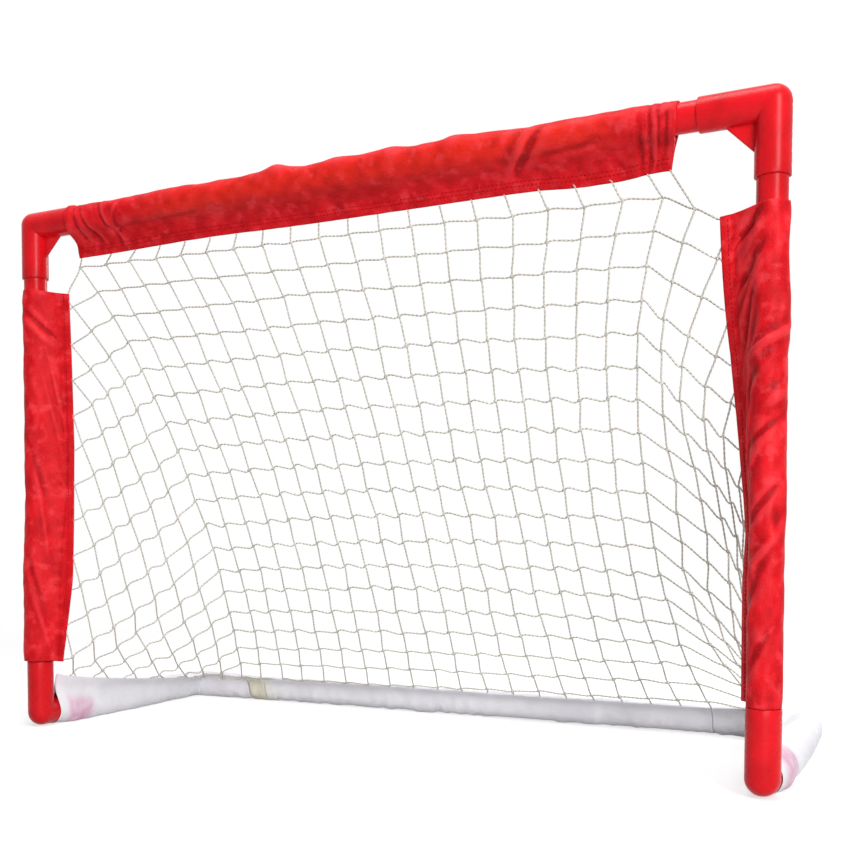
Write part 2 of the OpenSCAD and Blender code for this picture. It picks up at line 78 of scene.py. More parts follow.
def bell(distance: Any, width: Any) -> Any:
    """Return a smooth bump that is 1 at no distance and fades over width."""
    return np.exp(-np.square(distance / width))


def between(places: Any, ends: Sequence[float], fades: Sequence[float]) -> Any:
    """Return a share that rises from 0 at one end to 1 and falls to 0 at the other, over two lengths."""
    return ease((places - ends[0]) / fades[0]) * ease((ends[1] - places) / fades[1])


def arch(share: Any) -> Any:
    """Return the bow of a line held at both ends: 0 at shares 0 and 1 of it, and 1 in its middle."""
    return 4 * share * (1 - share)


def unit(vectors: Array) -> Array:
    """Return the vectors at length 1."""
    return vectors / np.linalg.norm(vectors, axis=-1, keepdims=True)


def as_points(*parts: Array) -> Array:
    """Return coordinates stacked into points."""
    return np.stack(parts, axis=-1)


def curve_through(a: Array, b: Array, c: Array, d: Array, share: Array) -> Array:
    """Return the smooth curve from a to d that sets out towards b and comes in from c."""
    return ((1 - share) ** 3 * a + 3 * (1 - share) ** 2 * share * b
            + 3 * (1 - share) * share ** 2 * c + share ** 3 * d)


def along(pairs: Pairs, places: Any) -> Any:
    """Return the values at places of the line through pairs of a place and a value."""
    return np.interp(places, *zip(*pairs))


def drift(points: Array, scale: float, seed: int) -> Array:
    """Sample smooth noise at points.

    Args:
        points: Rows of two or three coordinates.
        scale: Size of one patch of the noise.
        seed: Picks another part of the noise.

    Returns:
        One value from about -1 to 1 for each row.
    """
    flat = points.reshape(-1, points.shape[-1]) / scale
    padded = np.zeros((len(flat), 3))
    padded[:, : flat.shape[1]] = flat
    padded += seed * np.array([17.3, 5.9, 11.1])
    values = [noise.noise(Vector(row)) for row in padded]
    return 1.8 * np.array(values).reshape(points.shape[:-1])


@dataclass(frozen=True)
class Swell:
    """A smooth rise round one place of a line: its place and width in millimetres, and its height."""

    at: float
    width: float
    height: float = 1.0

    def of(self, places: Array) -> Array:
        """Return the rise at places of the line."""
        return self.height * bell(places - self.at * MM, self.width * MM)


@dataclass(frozen=True)
class Ripple:
    """Smooth noise on a cloth's map, with its height and patch size in millimetres.

    A low value of across draws the patches out into folds across the cloth, a low value of
    lengthwise draws them out along it, and slant and skew tilt them.
    """

    height: float
    patch: float
    across: float
    slant: float = 0.0
    lengthwise: float = 1.0
    skew: float = 0.0
    seed: int = 0

    def of(self, runs: Array, across: Array, seed: int) -> Array:
        """Return the rise at places of the map, where seed picks another part of the noise."""
        places = as_points(runs * self.lengthwise + across * self.slant,
                           across * self.across + runs * self.skew)
        return self.height * MM * drift(places, self.patch * MM, self.seed + seed)


@dataclass(frozen=True)
class GoalFrame:
    """Driving sizes of the tube frame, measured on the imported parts."""

    half_w: float
    front_y: float
    rear_y: float
    base_z: float
    top_z: float
    tube_r: float
    elbow_r: float
    elbow_leg: float

    @classmethod
    def measured(cls) -> "GoalFrame":
        """Return the frame as the boxes of its tubes and elbows give it."""
        post_low, post_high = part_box("post_tube_right")
        bar_low, bar_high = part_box("crossbar_tube_right")
        rear_low, rear_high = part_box("rear_tube_right")
        foot_low, foot_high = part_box("foot_elbow_right")
        base_z = (rear_low.z + rear_high.z) / 2
        return cls(
            half_w=(post_low.x + post_high.x) / 2,
            front_y=(post_low.y + post_high.y) / 2,
            rear_y=(rear_low.y + rear_high.y) / 2,
            base_z=base_z,
            top_z=(bar_low.z + bar_high.z) / 2,
            tube_r=(post_high.x - post_low.x) / 2,
            elbow_r=(foot_high.x - foot_low.x) / 2,
            elbow_leg=foot_high.z - base_z,
        )

    @property
    def depth(self) -> float:
        """Return the distance from the posts back to the rear tube."""
        return self.rear_y - self.front_y


# ---------------------------------------------------------------- nodes and finishes

def rgb(hex_colour: str) -> tuple[float, float, float, float]:
    """Return the linear colour of an sRGB hex string such as "e8202a"."""
    channels = [int(hex_colour[i:i + 2], 16) / 255 for i in (0, 2, 4)]
    linear = [c / 12.92 if c <= 0.04045 else ((c + 0.055) / 1.055) ** 2.4 for c in channels]
    return (linear[0], linear[1], linear[2], 1.0)


def wire(tree: Tree, node: Any, inputs: dict) -> None:
    """Set a node's inputs, by name or index, to values, or link them to sockets."""
    for key, value in inputs.items():
        if isinstance(value, bpy.types.NodeSocket):
            tree.links.new(value, node.inputs[key])
        else:
            node.inputs[key].default_value = value


def add_node(tree: Tree, kind: str, inputs: dict | None = None, **settings: Any) -> Any:
    """Add one node to a tree.

    Args:
        tree: The tree that takes the node.
        kind: The node's type name.
        inputs: Values or sockets to link, by the input's name or index.
        settings: The node's own properties.

    Returns:
        The new node.
    """
    node = tree.nodes.new(kind)
    for name, value in settings.items():
        setattr(node, name, value)
    wire(tree, node, inputs or {})
    return node


def cleared(owner: Any) -> Tree:
    """Return the emptied node tree of a material or world."""
    owner.use_nodes = True
    owner.node_tree.nodes.clear()
    return owner.node_tree


def worked_out(tree: Tree, operation: str, a: Any, b: Any = 0.5) -> Any:
    """Return the socket of an operation on two numbers."""
    return add_node(tree, "ShaderNodeMath", {0: a, 1: b}, operation=operation).outputs[0]


def ramp(tree: Tree, value: Any, low: float, high: float, to_low: float = 0.0, to_high: float = 1.0) -> Any:
    """Return a socket that maps value from low..high to to_low..to_high, held at its ends."""
    return add_node(tree, "ShaderNodeMapRange", {"Value": value, "From Min": low, "From Max": high,
                                                 "To Min": to_low, "To Max": to_high}).outputs["Result"]


def blend(tree: Tree, share: Any, low: Any, high: Any) -> Any:
    """Return a socket that mixes two colours, given as sockets or hex strings."""
    low, high = (rgb(colour) if isinstance(colour, str) else colour for colour in (low, high))
    return add_node(tree, "ShaderNodeMix", {0: share, 6: low, 7: high}, data_type="RGBA").outputs[2]


def patches(tree: Tree, where: Any, size: float, detail: float = 2.0) -> Any:
    """Return a socket of noise with patches of the given size in metres."""
    return add_node(tree, "ShaderNodeTexNoise", {"Vector": where, "Scale": 1.0 / size,
                                                 "Detail": detail}).outputs[0]


def ribs(tree: Tree, cloth: Any, width: float, direction: str, **shape: float) -> Any:
    """Return a socket of ribs of the given width in metres, across a cloth's map."""
    inputs = {word.replace("_", " "): value for word, value in shape.items()}
    return add_node(tree, "ShaderNodeTexWave", {"Vector": cloth, "Scale": 1.0 / (width * 2 * math.pi),
                                                **inputs}, bands_direction=direction).outputs[1]


def bump(tree: Tree, height: Any, strength: float, distance: float, under: Any = None) -> Any:
    """Return a socket of a surface raised by height, on top of another relief where one is given."""
    inputs = {"Height": height, "Strength": strength, "Distance": distance}
    if under is not None:
        inputs["Normal"] = under
    return add_node(tree, "ShaderNodeBump", inputs).outputs[0]


def object_map(tree: Tree) -> Any:
    """Return the socket of the object's own coordinates."""
    return add_node(tree, "ShaderNodeTexCoord").outputs["Object"]


def cloth_map(tree: Tree) -> Any:
    """Return the socket of the cloth's own flat map."""
    return add_node(tree, "ShaderNodeUVMap", uv_map="cloth").outputs[0]


def mark(tree: Tree, name: str) -> Any:
    """Return the socket of a share that the mesh carries at its points."""
    return add_node(tree, "ShaderNodeAttribute", attribute_name=name).outputs["Fac"]


@dataclass(frozen=True)
class Finish:
    """A finish that one material of the goal is made from."""

    name: str

    def material(self) -> bpy.types.Material:
        """Return this finish's material, made at its first use."""
        found = bpy.data.materials.get(self.name)
        if found is None:
            found = bpy.data.materials.new(self.name)
            tree = cleared(found)
            shader = add_node(tree, "ShaderNodeBsdfPrincipled")
            add_node(tree, "ShaderNodeOutputMaterial", {"Surface": shader.outputs[0]})
            wire(tree, shader, self.looks(tree))
        return found

    def looks(self, tree: Tree) -> dict[str, Any]:
        """Return the shader's inputs as values and sockets; each finish has its own."""
        raise NotImplementedError


@dataclass(frozen=True)
class MouldedPlastic(Finish):
    """Glossy moulded or extruded PVC, with handling haze and a fine orange peel."""

    colour: str = "e01520"
    deep: str = "c40e18"
    gloss: float = 0.24
    haze: float = 0.1
    shine: float = 0.15

    def looks(self, tree: Tree) -> dict[str, Any]:
        """Return uneven pigment, a gloss that handling has hazed and a skin with orange peel."""
        where = object_map(tree)
        pigment = patches(tree, where, 30 * MM)
        rub = patches(tree, where, 7 * MM, 4.0)
        peel = patches(tree, where, 2.2 * MM, 1.0)
        return {"Base Color": blend(tree, ramp(tree, pigment, 0.35, 0.65), self.deep, self.colour),
                "Roughness": ramp(tree, rub, 0.3, 0.75, self.gloss, self.gloss + self.haze),
                "Normal": bump(tree, peel, 0.1, 0.05 * MM),
                "Specular IOR Level": self.shine}


@dataclass(frozen=True)
class SleeveKnit(Finish):
    """Satin polyester knit: fine ribs, a soft sheen, and crinkles between the folds."""

    colour: str = "e81822"
    deep: str = "c40d17"
    # Painted light, warmer in hue, on the crossbar's top
    painted_warm_light: str = "ea3418"
    # Painted shade in the folds' hollows
    hollow: str = "930913"
    # Painted highlight on the folds' ridges and painted sheen in broken patches
    dust_and_painted_sheen: str = "f0464e"
    # Painted glints in fine specks
    painted_glint: str = "f26470"
    glow: str = "ff9a9a"
    patch: float = 11 * MM
    roughness: float = 0.5
    rib: float = 0.9 * MM
    crinkle: float = 4.5 * MM
    crinkle_depth: float = 0.7 * MM
    sheen: float = 0.04
    shine: float = 0.1

    def looks(self, tree: Tree) -> dict[str, Any]:
        """Return dye, painted light, shade, sheen and glints, knit ribs along the cloth's own map, and
        crinkles.
        """
        where, cloth = object_map(tree), cloth_map(tree)
        # Dye that takes a little unevenly, and painted light, warmer in hue, where the cloth faces up
        dye = patches(tree, where, 22 * MM, 3.0)
        base = blend(tree, ramp(tree, dye, 0.3, 0.7), self.deep, self.colour)
        base = blend(tree, mark(tree, "tone"), base, self.painted_warm_light)
        # Painted shade in the folds' hollows, and painted highlight on their ridges
        form = mark(tree, "hollow")
        base = blend(tree, ramp(tree, form, 0.5, 0.95, 0.0, 0.75), base, self.hollow)
        base = blend(tree, ramp(tree, form, 0.5, 0.1, 0.0, 0.4), base, self.dust_and_painted_sheen)
        # Broken patches of painted sheen, and painted glints in fine specks
        sheen_noise = patches(tree, where, self.patch, 5.0)
        base = blend(tree, ramp(tree, sheen_noise, 0.55, 0.68, 0.0, 0.45), base, self.dust_and_painted_sheen)
        glint_noise = patches(tree, cloth, 0.8 * MM, 1.0)
        base = blend(tree, ramp(tree, glint_noise, 0.58, 0.8, 0.0, 0.35), base, self.painted_glint)
        # Knit ribs across the cloth, under crinkles a few millimetres across
        rows = ribs(tree, cloth, self.rib, "DIAGONAL", Distortion=0.6, Detail=1.0, Detail_Scale=2.0)
        knit = bump(tree, rows, 0.3, 0.08 * MM)
        crease = patches(tree, cloth, self.crinkle, 3.0)
        return {"Base Color": base,
                "Roughness": ramp(tree, dye, 0.3, 0.7, self.roughness + 0.06, self.roughness - 0.06),
                "Normal": bump(tree, crease, 0.8, self.crinkle_depth, knit),
                "Sheen Weight": self.sheen, "Sheen Roughness": 0.4, "Sheen Tint": rgb(self.glow),
                "Specular IOR Level": self.shine}


@dataclass(frozen=True)
class BaseSatin(Finish):
    """Thin white polyester that lets the colour of what it covers through."""

    colour: str = "faf9fd"
    shade: str = "eeecf3"
    through: str = "e3afc9"
    thread: float = 1.6 * MM
    crinkle: float = 9.0 * MM

    def looks(self, tree: Tree) -> dict[str, Any]:
        """Return cool and warm whites, the tint of what lies under, a fine weave and crinkles."""
        where, cloth = object_map(tree), cloth_map(tree)
        drifting = patches(tree, where, 26 * MM, 4.0)
        base = blend(tree, ramp(tree, drifting, 0.35, 0.68), self.shade, self.colour)
        # Red elbow seen through the cloth that lies on it
        broken = ramp(tree, patches(tree, where, 9 * MM), 0.35, 0.6, 0.6, 1.0)
        touch = worked_out(tree, "MULTIPLY", mark(tree, "tone"), broken)
        weave = add_node(tree, "ShaderNodeTexBrick", {"Vector": cloth, "Scale": 1.0 / self.thread,
                                                      "Mortar Size": 0.03, "Mortar Smooth": 0.6})
        grain = bump(tree, weave.outputs[1], 0.25, -0.05 * MM)
        crease = patches(tree, cloth, self.crinkle, 4.0)
        return {"Base Color": blend(tree, touch, base, self.through),
                "Normal": bump(tree, crease, 0.9, 0.7 * MM, grain),
                "Roughness": 0.55, "Sheen Weight": 0.1, "Specular IOR Level": 0.2}


@dataclass(frozen=True)
class CordYarn(Finish):
    """Two-ply twisted cord with fuzz in the lay and a little dust."""

    colour: str = "e9e6dd"
    # Painted shade between the plies
    painted_groove_shade: str = "c6c2b7"
    dusty: str = "c9c5b9"
    pitch: float = 7.5 * MM

    def looks(self, tree: Tree) -> dict[str, Any]:
        """Return painted shade in the lay's grooves along the cord, patches of dust and fuzz."""
        where = object_map(tree)
        # Painted shade between the plies, twice in each turn of the twist
        turn = worked_out(tree, "MULTIPLY", mark(tree, "run"), 4 * math.pi / self.pitch)
        lay = ramp(tree, worked_out(tree, "SINE", turn), -1.0, 0.6, 0.2, 1.0)
        dust = patches(tree, where, 18 * MM, 3.0)
        dust_and_painted_sheen = blend(tree, ramp(tree, dust, 0.35, 0.7), self.dusty, self.colour)
        fuzz = patches(tree, where, 0.5 * MM)
        return {"Base Color": blend(tree, lay, self.painted_groove_shade, dust_and_painted_sheen),
                "Normal": bump(tree, fuzz, 0.5, 0.12 * MM),
                "Roughness": 0.85, "Specular IOR Level": 0.1}


@dataclass(frozen=True)
class WovenRibbon(Finish):
    """Woven tape or ribbon with ribs across it."""

    colour: str = "efecdd"
    shade: str = "dcd7c1"
    rib: float = 1.3 * MM

    def looks(self, tree: Tree) -> dict[str, Any]:
        """Return ribs across the ribbon and soft soiling from the floor."""
        soil = patches(tree, object_map(tree), 8 * MM, 3.0)
        rows = ribs(tree, cloth_map(tree), self.rib, "Y", Distortion=0.3)
        return {"Base Color": blend(tree, ramp(tree, soil, 0.35, 0.7), self.shade, self.colour),
                "Normal": bump(tree, rows, 0.6, 0.15 * MM), "Roughness": 0.7}


@dataclass(frozen=True)
class Thread(Finish):
    """Sewing thread with its own twist."""

    colour: str = "8c0a12"
    high: str = "b31620"

    def looks(self, tree: Tree) -> dict[str, Any]:
        """Return thread that is lighter in places."""
        ply = patches(tree, object_map(tree), 0.6 * MM)
        return {"Base Color": blend(tree, ramp(tree, ply, 0.3, 0.7), self.colour, self.high),
                "Roughness": 0.6, "Specular IOR Level": 0.1}


RED_PVC = MouldedPlastic("glossy_red_pvc")
WHITE_PVC = MouldedPlastic("glossy_white_pvc", colour="eeeeec", deep="e2e2df", gloss=0.3)
RED_KNIT = SleeveKnit("red_satin_knit")
WHITE_SATIN = BaseSatin("thin_white_satin")
NET_CORD = CordYarn("twisted_net_cord")
CREAM_TAPE = WovenRibbon("cream_woven_tape")
LABEL_RIBBON = WovenRibbon("white_label_ribbon", colour="faf9f7", shade="efeeeb", rib=0.7 * MM)
RED_THREAD = Thread("dark_red_thread")


# ---------------------------------------------------------------- mesh helpers

def linked(name: str, data: Any) -> Piece:
    """Return a new object with the given data, linked to the scene."""
    piece = bpy.data.objects.new(name, data)
    bpy.context.scene.collection.objects.link(piece)
    return piece


def mesh_of(form: Form, name: str) -> bpy.types.Mesh:
    """Return a finished form as a mesh, and free the form."""
    mesh = bpy.data.meshes.new(name)
    form.to_mesh(mesh)
    form.free()
    return mesh


def cloth_grid(name: str, points: Array, cloth: Array, tone: Array, finish: Finish,
               thickness: float, hollow: Array | None = None) -> Piece:
    """Make a sheet of cloth from a grid of points.

    Args:
        name: The piece's name.
        points: Grid of points, stations by points along the cut.
        cloth: Grid of the cloth's own flat coordinates, for its map.
        tone: Grid of a share from 0 to 1 that the finish may use.
        finish: The cloth's finish.
        thickness: Thickness of the cloth.
        hollow: Grid of a share, over 0.5 in folds' hollows and under it on their ridges, for painted shade
            and highlight.

    Returns:
        The cloth's object, with its wall applied.
    """
    rows, columns = points.shape[:2]
    index = np.arange(rows * columns).reshape(rows, columns)
    quads = as_points(index[:-1, :-1], index[1:, :-1], index[1:, 1:], index[:-1, 1:]).reshape(-1, 4)
    mesh = bpy.data.meshes.new(name)
    mesh.from_pydata(points.reshape(-1, 3).tolist(), [], quads.tolist())
    layer = mesh.uv_layers.new(name="cloth")
    layer.data.foreach_set("uv", cloth.reshape(-1, 2)[quads.reshape(-1)].astype(np.float32).ravel())
    shares = {"tone": tone, "hollow": np.full(tone.shape, 0.5) if hollow is None else hollow}
    for word, values in shares.items():
        share = mesh.attributes.new(word, "FLOAT", "POINT")
        share.data.foreach_set("value", values.reshape(-1).astype(np.float32))
    mesh.polygons.foreach_set("use_smooth", [True] * len(mesh.polygons))
    mesh.materials.append(finish.material())
    piece = linked(name, mesh)
    wall = piece.modifiers.new("wall", "SOLIDIFY")
    wall.thickness = thickness
    wall.offset = 0.0
    wall.use_even_offset = False
    return baked(piece)


def baked(piece: Piece) -> Piece:
    """Turn a piece's modifiers into plain mesh and return the piece."""
    graph = bpy.context.evaluated_depsgraph_get()
    graph.update()
    mesh = bpy.data.meshes.new_from_object(piece.evaluated_get(graph), depsgraph=graph)
    name = piece.name
    bpy.data.objects.remove(piece)
    return linked(name, mesh)


def settle(piece: Piece, slot: str, *nodes: str) -> Piece:
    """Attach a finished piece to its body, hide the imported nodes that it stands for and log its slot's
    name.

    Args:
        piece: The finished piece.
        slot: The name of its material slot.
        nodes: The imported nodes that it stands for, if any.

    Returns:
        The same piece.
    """
    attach(piece, BODY)
    if nodes:
        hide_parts(*nodes)
    triangles = sum(len(face.vertices) - 2 for face in piece.data.polygons)
    log.info("%s: %d triangles, slot %s", piece.name, triangles, slot)
    return piece


# ---------------------------------------------------------------- repeated things

class Repeat(Enum):
    """What a tree of geometry nodes lays along the lines that it is given."""

    CORD = "cord"
    KNOT = "knot"
    STITCH = "stitch"


@dataclass(frozen=True)
class RepeatTree:
    """Geometry nodes that turn lines or points into cords, knots or stitches."""

    kind: Repeat
    width: float
    pitch: float
    step: float
    seed: int = 7

    def build(self, finish: Finish) -> Tree:
        """Return the node tree with its named inputs."""
        tree = bpy.data.node_groups.new(f"{self.kind.value}_tree", "GeometryNodeTree")
        kinds = {"Geometry": "Geometry", "Width": "Float", "Pitch": "Float", "Step": "Float"}
        for name, kind in kinds.items():
            tree.interface.new_socket(name, in_out="INPUT", socket_type=f"NodeSocket{kind}")
        tree.interface.new_socket("Geometry", in_out="OUTPUT", socket_type="NodeSocketGeometry")
        makers = {Repeat.CORD: self.cords, Repeat.KNOT: self.knots, Repeat.STITCH: self.stitches}
        shape = makers[self.kind](tree, add_node(tree, "NodeGroupInput").outputs)
        whole = add_node(tree, "GeometryNodeRealizeInstances", {0: shape})
        smooth = add_node(tree, "GeometryNodeSetShadeSmooth", {0: whole.outputs[0]})
        dressed = add_node(tree, "GeometryNodeSetMaterial", {0: smooth.outputs[0],
                                                             "Material": finish.material()})
        add_node(tree, "NodeGroupOutput", {0: dressed.outputs[0]})
        return tree

    def spaced(self, tree: Tree, given: Any, by: str) -> Any:
        """Return the given lines with points at every length of the named input."""
        return add_node(tree, "GeometryNodeResampleCurve", {"Curve": given[0], "Length": given[by]},
                        mode="LENGTH").outputs[0]

    def circle(self, tree: Tree, given: Any, share: float, corners: int) -> Any:
        """Return a circle whose radius is a share of the width."""
        radius = worked_out(tree, "MULTIPLY", given["Width"], share)
        return add_node(tree, "GeometryNodeCurvePrimitiveCircle", {"Resolution": corners,
                                                                   "Radius": radius}).outputs[0]

    def bead(self, tree: Tree, given: Any, segments: int) -> Any:
        """Return a small ball as wide as the width."""
        radius = worked_out(tree, "MULTIPLY", given["Width"])
        return add_node(tree, "GeometryNodeMeshUVSphere", {"Segments": segments, "Rings": 4,
                                                           "Radius": radius}).outputs[0]

    def cords(self, tree: Tree, given: Any) -> Any:
        """Sweep a flat round profile along each line and twist it as two plies lie."""
        run = add_node(tree, "GeometryNodeSplineParameter").outputs["Length"]
        marked = add_node(tree, "GeometryNodeStoreNamedAttribute",
                          {"Geometry": self.spaced(tree, given, "Step"), "Name": "run", "Value": run},
                          data_type="FLOAT", domain="POINT")
        turns = worked_out(tree, "DIVIDE", run, given["Pitch"])
        angle = worked_out(tree, "MULTIPLY", turns, 2 * math.pi)
        twisted = add_node(tree, "GeometryNodeSetCurveTilt", {0: marked.outputs[0], "Tilt": angle})
        place = add_node(tree, "GeometryNodeInputPosition")
        flat = add_node(tree, "ShaderNodeVectorMath", {0: place.outputs[0], 1: (1.0, 0.7, 1.0)},
                        operation="MULTIPLY")
        profile = add_node(tree, "GeometryNodeSetPosition", {0: self.circle(tree, given, 0.5, 6),
                                                             "Position": flat.outputs[0]})
        return add_node(tree, "GeometryNodeCurveToMesh", {0: twisted.outputs[0], 1: profile.outputs[0],
                                                          "Fill Caps": True}).outputs[0]

    def knots(self, tree: Tree, given: Any) -> Any:
        """Set a small lump with a turn of cord round it at each point."""
        turn = add_node(tree, "GeometryNodeCurveToMesh", {0: self.circle(tree, given, 0.5, 8),
                                                          1: self.circle(tree, given, 0.27, 4)})
        both = add_node(tree, "GeometryNodeJoinGeometry")
        tree.links.new(self.bead(tree, given, 6), both.inputs[0])
        tree.links.new(turn.outputs[0], both.inputs[0])
        angle = add_node(tree, "FunctionNodeRandomValue", {0: (0.0, 0.0, 0.0), 1: (3.1, 3.1, 3.1),
                                                           "Seed": self.seed}, data_type="FLOAT_VECTOR")
        size = add_node(tree, "FunctionNodeRandomValue", {2: 0.85, 3: 1.15, "Seed": self.seed + 1},
                        data_type="FLOAT")
        return add_node(tree, "GeometryNodeInstanceOnPoints",
                        {"Points": given[0], "Instance": both.outputs[0], "Rotation": angle.outputs[0],
                         "Scale": size.outputs[1]}).outputs[0]

    def stitches(self, tree: Tree, given: Any) -> Any:
        """Lay a short thread along the line at every pitch."""
        points = add_node(tree, "GeometryNodeCurveToPoints", {0: self.spaced(tree, given, "Pitch")},
                          mode="EVALUATED")
        longer = worked_out(tree, "DIVIDE", given["Step"], given["Width"])
        stretch = add_node(tree, "ShaderNodeCombineXYZ", {0: 1.0, 1: 1.0, 2: longer})
        return add_node(tree, "GeometryNodeInstanceOnPoints",
                        {"Points": points.outputs[0], "Instance": self.bead(tree, given, 5),
                         "Rotation": points.outputs["Rotation"],
                         "Scale": stretch.outputs[0]}).outputs[0]

    def lay(self, name: str, lines: Sequence[Array], finish: Finish) -> Piece:
        """Lay the repeated thing along lines, or on points, as one plain mesh piece.

        Args:
            name: The piece's name.
            lines: Lines of points; for knots, one array of all points.
            finish: The finish of every copy.

        Returns:
            The baked piece.
        """
        if self.kind is Repeat.KNOT:
            carrier = bpy.data.meshes.new(name)
            carrier.from_pydata(lines[0].tolist(), [], [])
        else:
            carrier = bpy.data.curves.new(name, "CURVE")
            carrier.dimensions = "3D"
            for line in lines:
                spline = carrier.splines.new("POLY")
                spline.points.add(len(line) - 1)
                spline.points.foreach_set("co", np.column_stack([line, np.ones(len(line))]).ravel())
        piece = linked(name, carrier)
        modifier = piece.modifiers.new("repeat", "NODES")
        modifier.node_group = self.build(finish)
        sizes = {"Width": self.width, "Pitch": self.pitch, "Step": self.step}
        for socket in modifier.node_group.interface.items_tree:
            if socket.in_out == "INPUT" and socket.name in sizes:
                modifier[socket.identifier] = sizes[socket.name]
        return baked(piece)


# ---------------------------------------------------------------- elbows and tubes

class Corner(Enum):
    """Where an elbow sits: its name, its side, and whether it is at the top."""

    TOP_LEFT = ("top_elbow_left", -1, True)
    TOP_RIGHT = ("top_elbow_right", 1, True)
    FOOT_LEFT = ("foot_elbow_left", -1, False)
    FOOT_RIGHT = ("foot_elbow_right", 1, False)


def skin(form: Form, grid: list[list], closed: bool) -> None:
    """Add the faces between neighbouring rings, or open arcs, of vertices."""
    count = len(grid[0])
    for near, far in zip(grid[:-1], grid[1:]):
        for k in range(count if closed else count - 1):
            ahead = (k + 1) % count
            form.faces.new((near[k], near[ahead], far[ahead], far[k]))


@dataclass(frozen=True)
class ElbowFitting:
    """Moulded elbow with a square corner under a ball, two sockets and, at the top, a corner web."""

    goal: GoalFrame
    corner: Corner
    socket_play: float = 0.1 * MM
    socket_depth: float = 32 * MM
    lip_r: float = 0.7 * MM
    web_root: float = 2 * MM
    web_reach: float = 19.5 * MM
    web_t: float = 3 * MM
    web_round: float = 0.6 * MM
    sides: int = 64
    ball_steps: int = 16
    sharp: float = 32.0

    def build(self) -> Piece:
        """Return the elbow's piece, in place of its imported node."""
        name, side, at_top = self.corner.value
        form = bmesh.new()
        self.add_leg(form, along_x=True)
        self.add_leg(form, along_x=False)
        self.add_ball(form)
        bmesh.ops.remove_doubles(form, verts=form.verts, dist=0.01 * MM)
        bmesh.ops.recalc_face_normals(form, faces=form.faces)
        if at_top:
            self.add_web(form)
        for vertex in form.verts:
            vertex.co = self.placed(vertex.co, side, at_top)
        if (side < 0) != at_top:
            bmesh.ops.reverse_faces(form, faces=form.faces)
        for edge in form.edges:
            edge.smooth = len(edge.link_faces) == 2 and edge.calc_face_angle(0.0) < math.radians(self.sharp)
        for face in form.faces:
            face.smooth = True
        mesh = mesh_of(form, name)
        mesh.materials.append(RED_PVC.material())
        return settle(linked(f"{name}_moulding", mesh), "red_plastic", name)

    def placed(self, at: Vector, side: int, at_top: bool) -> Vector:
        """Return a point of the elbow, whose corner is the origin, at its place in the goal."""
        goal = self.goal
        if at_top:
            return Vector((side * (goal.half_w - at.x), goal.front_y + at.y, goal.top_z - at.z))
        return Vector((side * goal.half_w - side * at.y, goal.front_y + at.x, goal.base_z + at.z))

    def add_leg(self, form: Form, along_x: bool) -> None:
        """Add one leg: its outside from the mitre to the rounded lip, and its socket.

        Args:
            form: The elbow's form, whose corner is the origin.
            along_x: Whether the leg runs along x; the other runs up.
        """
        r, leg = self.goal.elbow_r, self.goal.elbow_leg
        bore = self.goal.tube_r + self.socket_play
        turns = np.linspace(0, 2 * math.pi, self.sides, endpoint=False)
        mitre = np.maximum(r * np.sin(turns), 0.0)
        rings = [(mix(mitre, leg - self.lip_r, share), r) for share in np.linspace(0, 1, 9)]
        rings += [(leg - self.lip_r * (1 - math.sin(a)), r - self.lip_r * (1 - math.cos(a)))
                  for a in (math.pi / 6, math.pi / 3, math.pi / 2)]
        rings += [(leg, bore + 0.3 * self.lip_r), (leg - 0.3 * self.lip_r, bore),
                  (leg - self.socket_depth, bore), (leg - self.socket_depth, 0.3 * bore)]
        grid = []
        for run, radius in rings:
            far = np.broadcast_to(run, turns.shape)
            circle = [(x, radius * math.cos(a), radius * math.sin(a)) for x, a in zip(far, turns)]
            grid.append([form.verts.new(p if along_x else (p[2], p[1], p[0])) for p in circle])
        skin(form, grid, closed=True)
        form.faces.new(grid[-1])

    def add_ball(self, form: Form) -> None:
        """Add the quarter ball over the outside of the corner."""
        r = self.goal.elbow_r
        grid = []
        for turn in np.linspace(0, math.pi / 2, self.ball_steps + 1):
            arc = [(-r * math.sin(turn) * math.sin(a), r * math.cos(a), -r * math.cos(turn) * math.sin(a))
                   for a in np.linspace(0, math.pi, self.sides // 2 + 1)]
            grid.append([form.verts.new(p) for p in arc])
        skin(form, grid, closed=False)

    def add_web(self, form: Form) -> None:
        """Add the flat corner web between the legs, with rounded edges."""
        r = self.goal.elbow_r
        inner, reach = r - self.web_root, r + self.web_reach
        outline = ((inner, inner), (reach, inner), (reach, r), (r, reach), (inner, reach))
        sheets = [[form.verts.new((x, y, z)) for x, z in outline] for y in (-self.web_t / 2, self.web_t / 2)]
        form.faces.new(sheets[0])
        form.faces.new(sheets[1])
        skin(form, sheets, closed=True)
        faces = list(dict.fromkeys(face for vertex in sheets[0] + sheets[1] for face in vertex.link_faces))
        bmesh.ops.recalc_face_normals(form, faces=faces)
        edges = list(dict.fromkeys(edge for face in faces for edge in face.edges))
        bmesh.ops.bevel(form, geom=edges, offset=self.web_round, segments=3, profile=0.5, affect="EDGES")


@dataclass(frozen=True)
class TubeFrame:
    """Plain tubes and couplings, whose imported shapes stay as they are."""

    red: tuple[str, ...] = ("crossbar_tube_left", "crossbar_tube_right", "crossbar_coupling",
                            "post_tube_left", "post_tube_right")
    white: tuple[str, ...] = ("side_tube_left", "side_tube_right", "rear_tube_left", "rear_tube_right",
                              "rear_coupling", "rear_elbow_left", "rear_elbow_right")

    def dress(self) -> None:
        """Give each packed tube, coupling and hidden elbow its plastic."""
        for names, finish in ((self.red, RED_PVC), (self.white, WHITE_PVC)):
            for name in names:
                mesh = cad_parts[name].data
                mesh.materials.clear()
                mesh.materials.append(finish.material())
                log.info("%s: packed shape in %s", name, finish.name)


# ---------------------------------------------------------------- sleeves

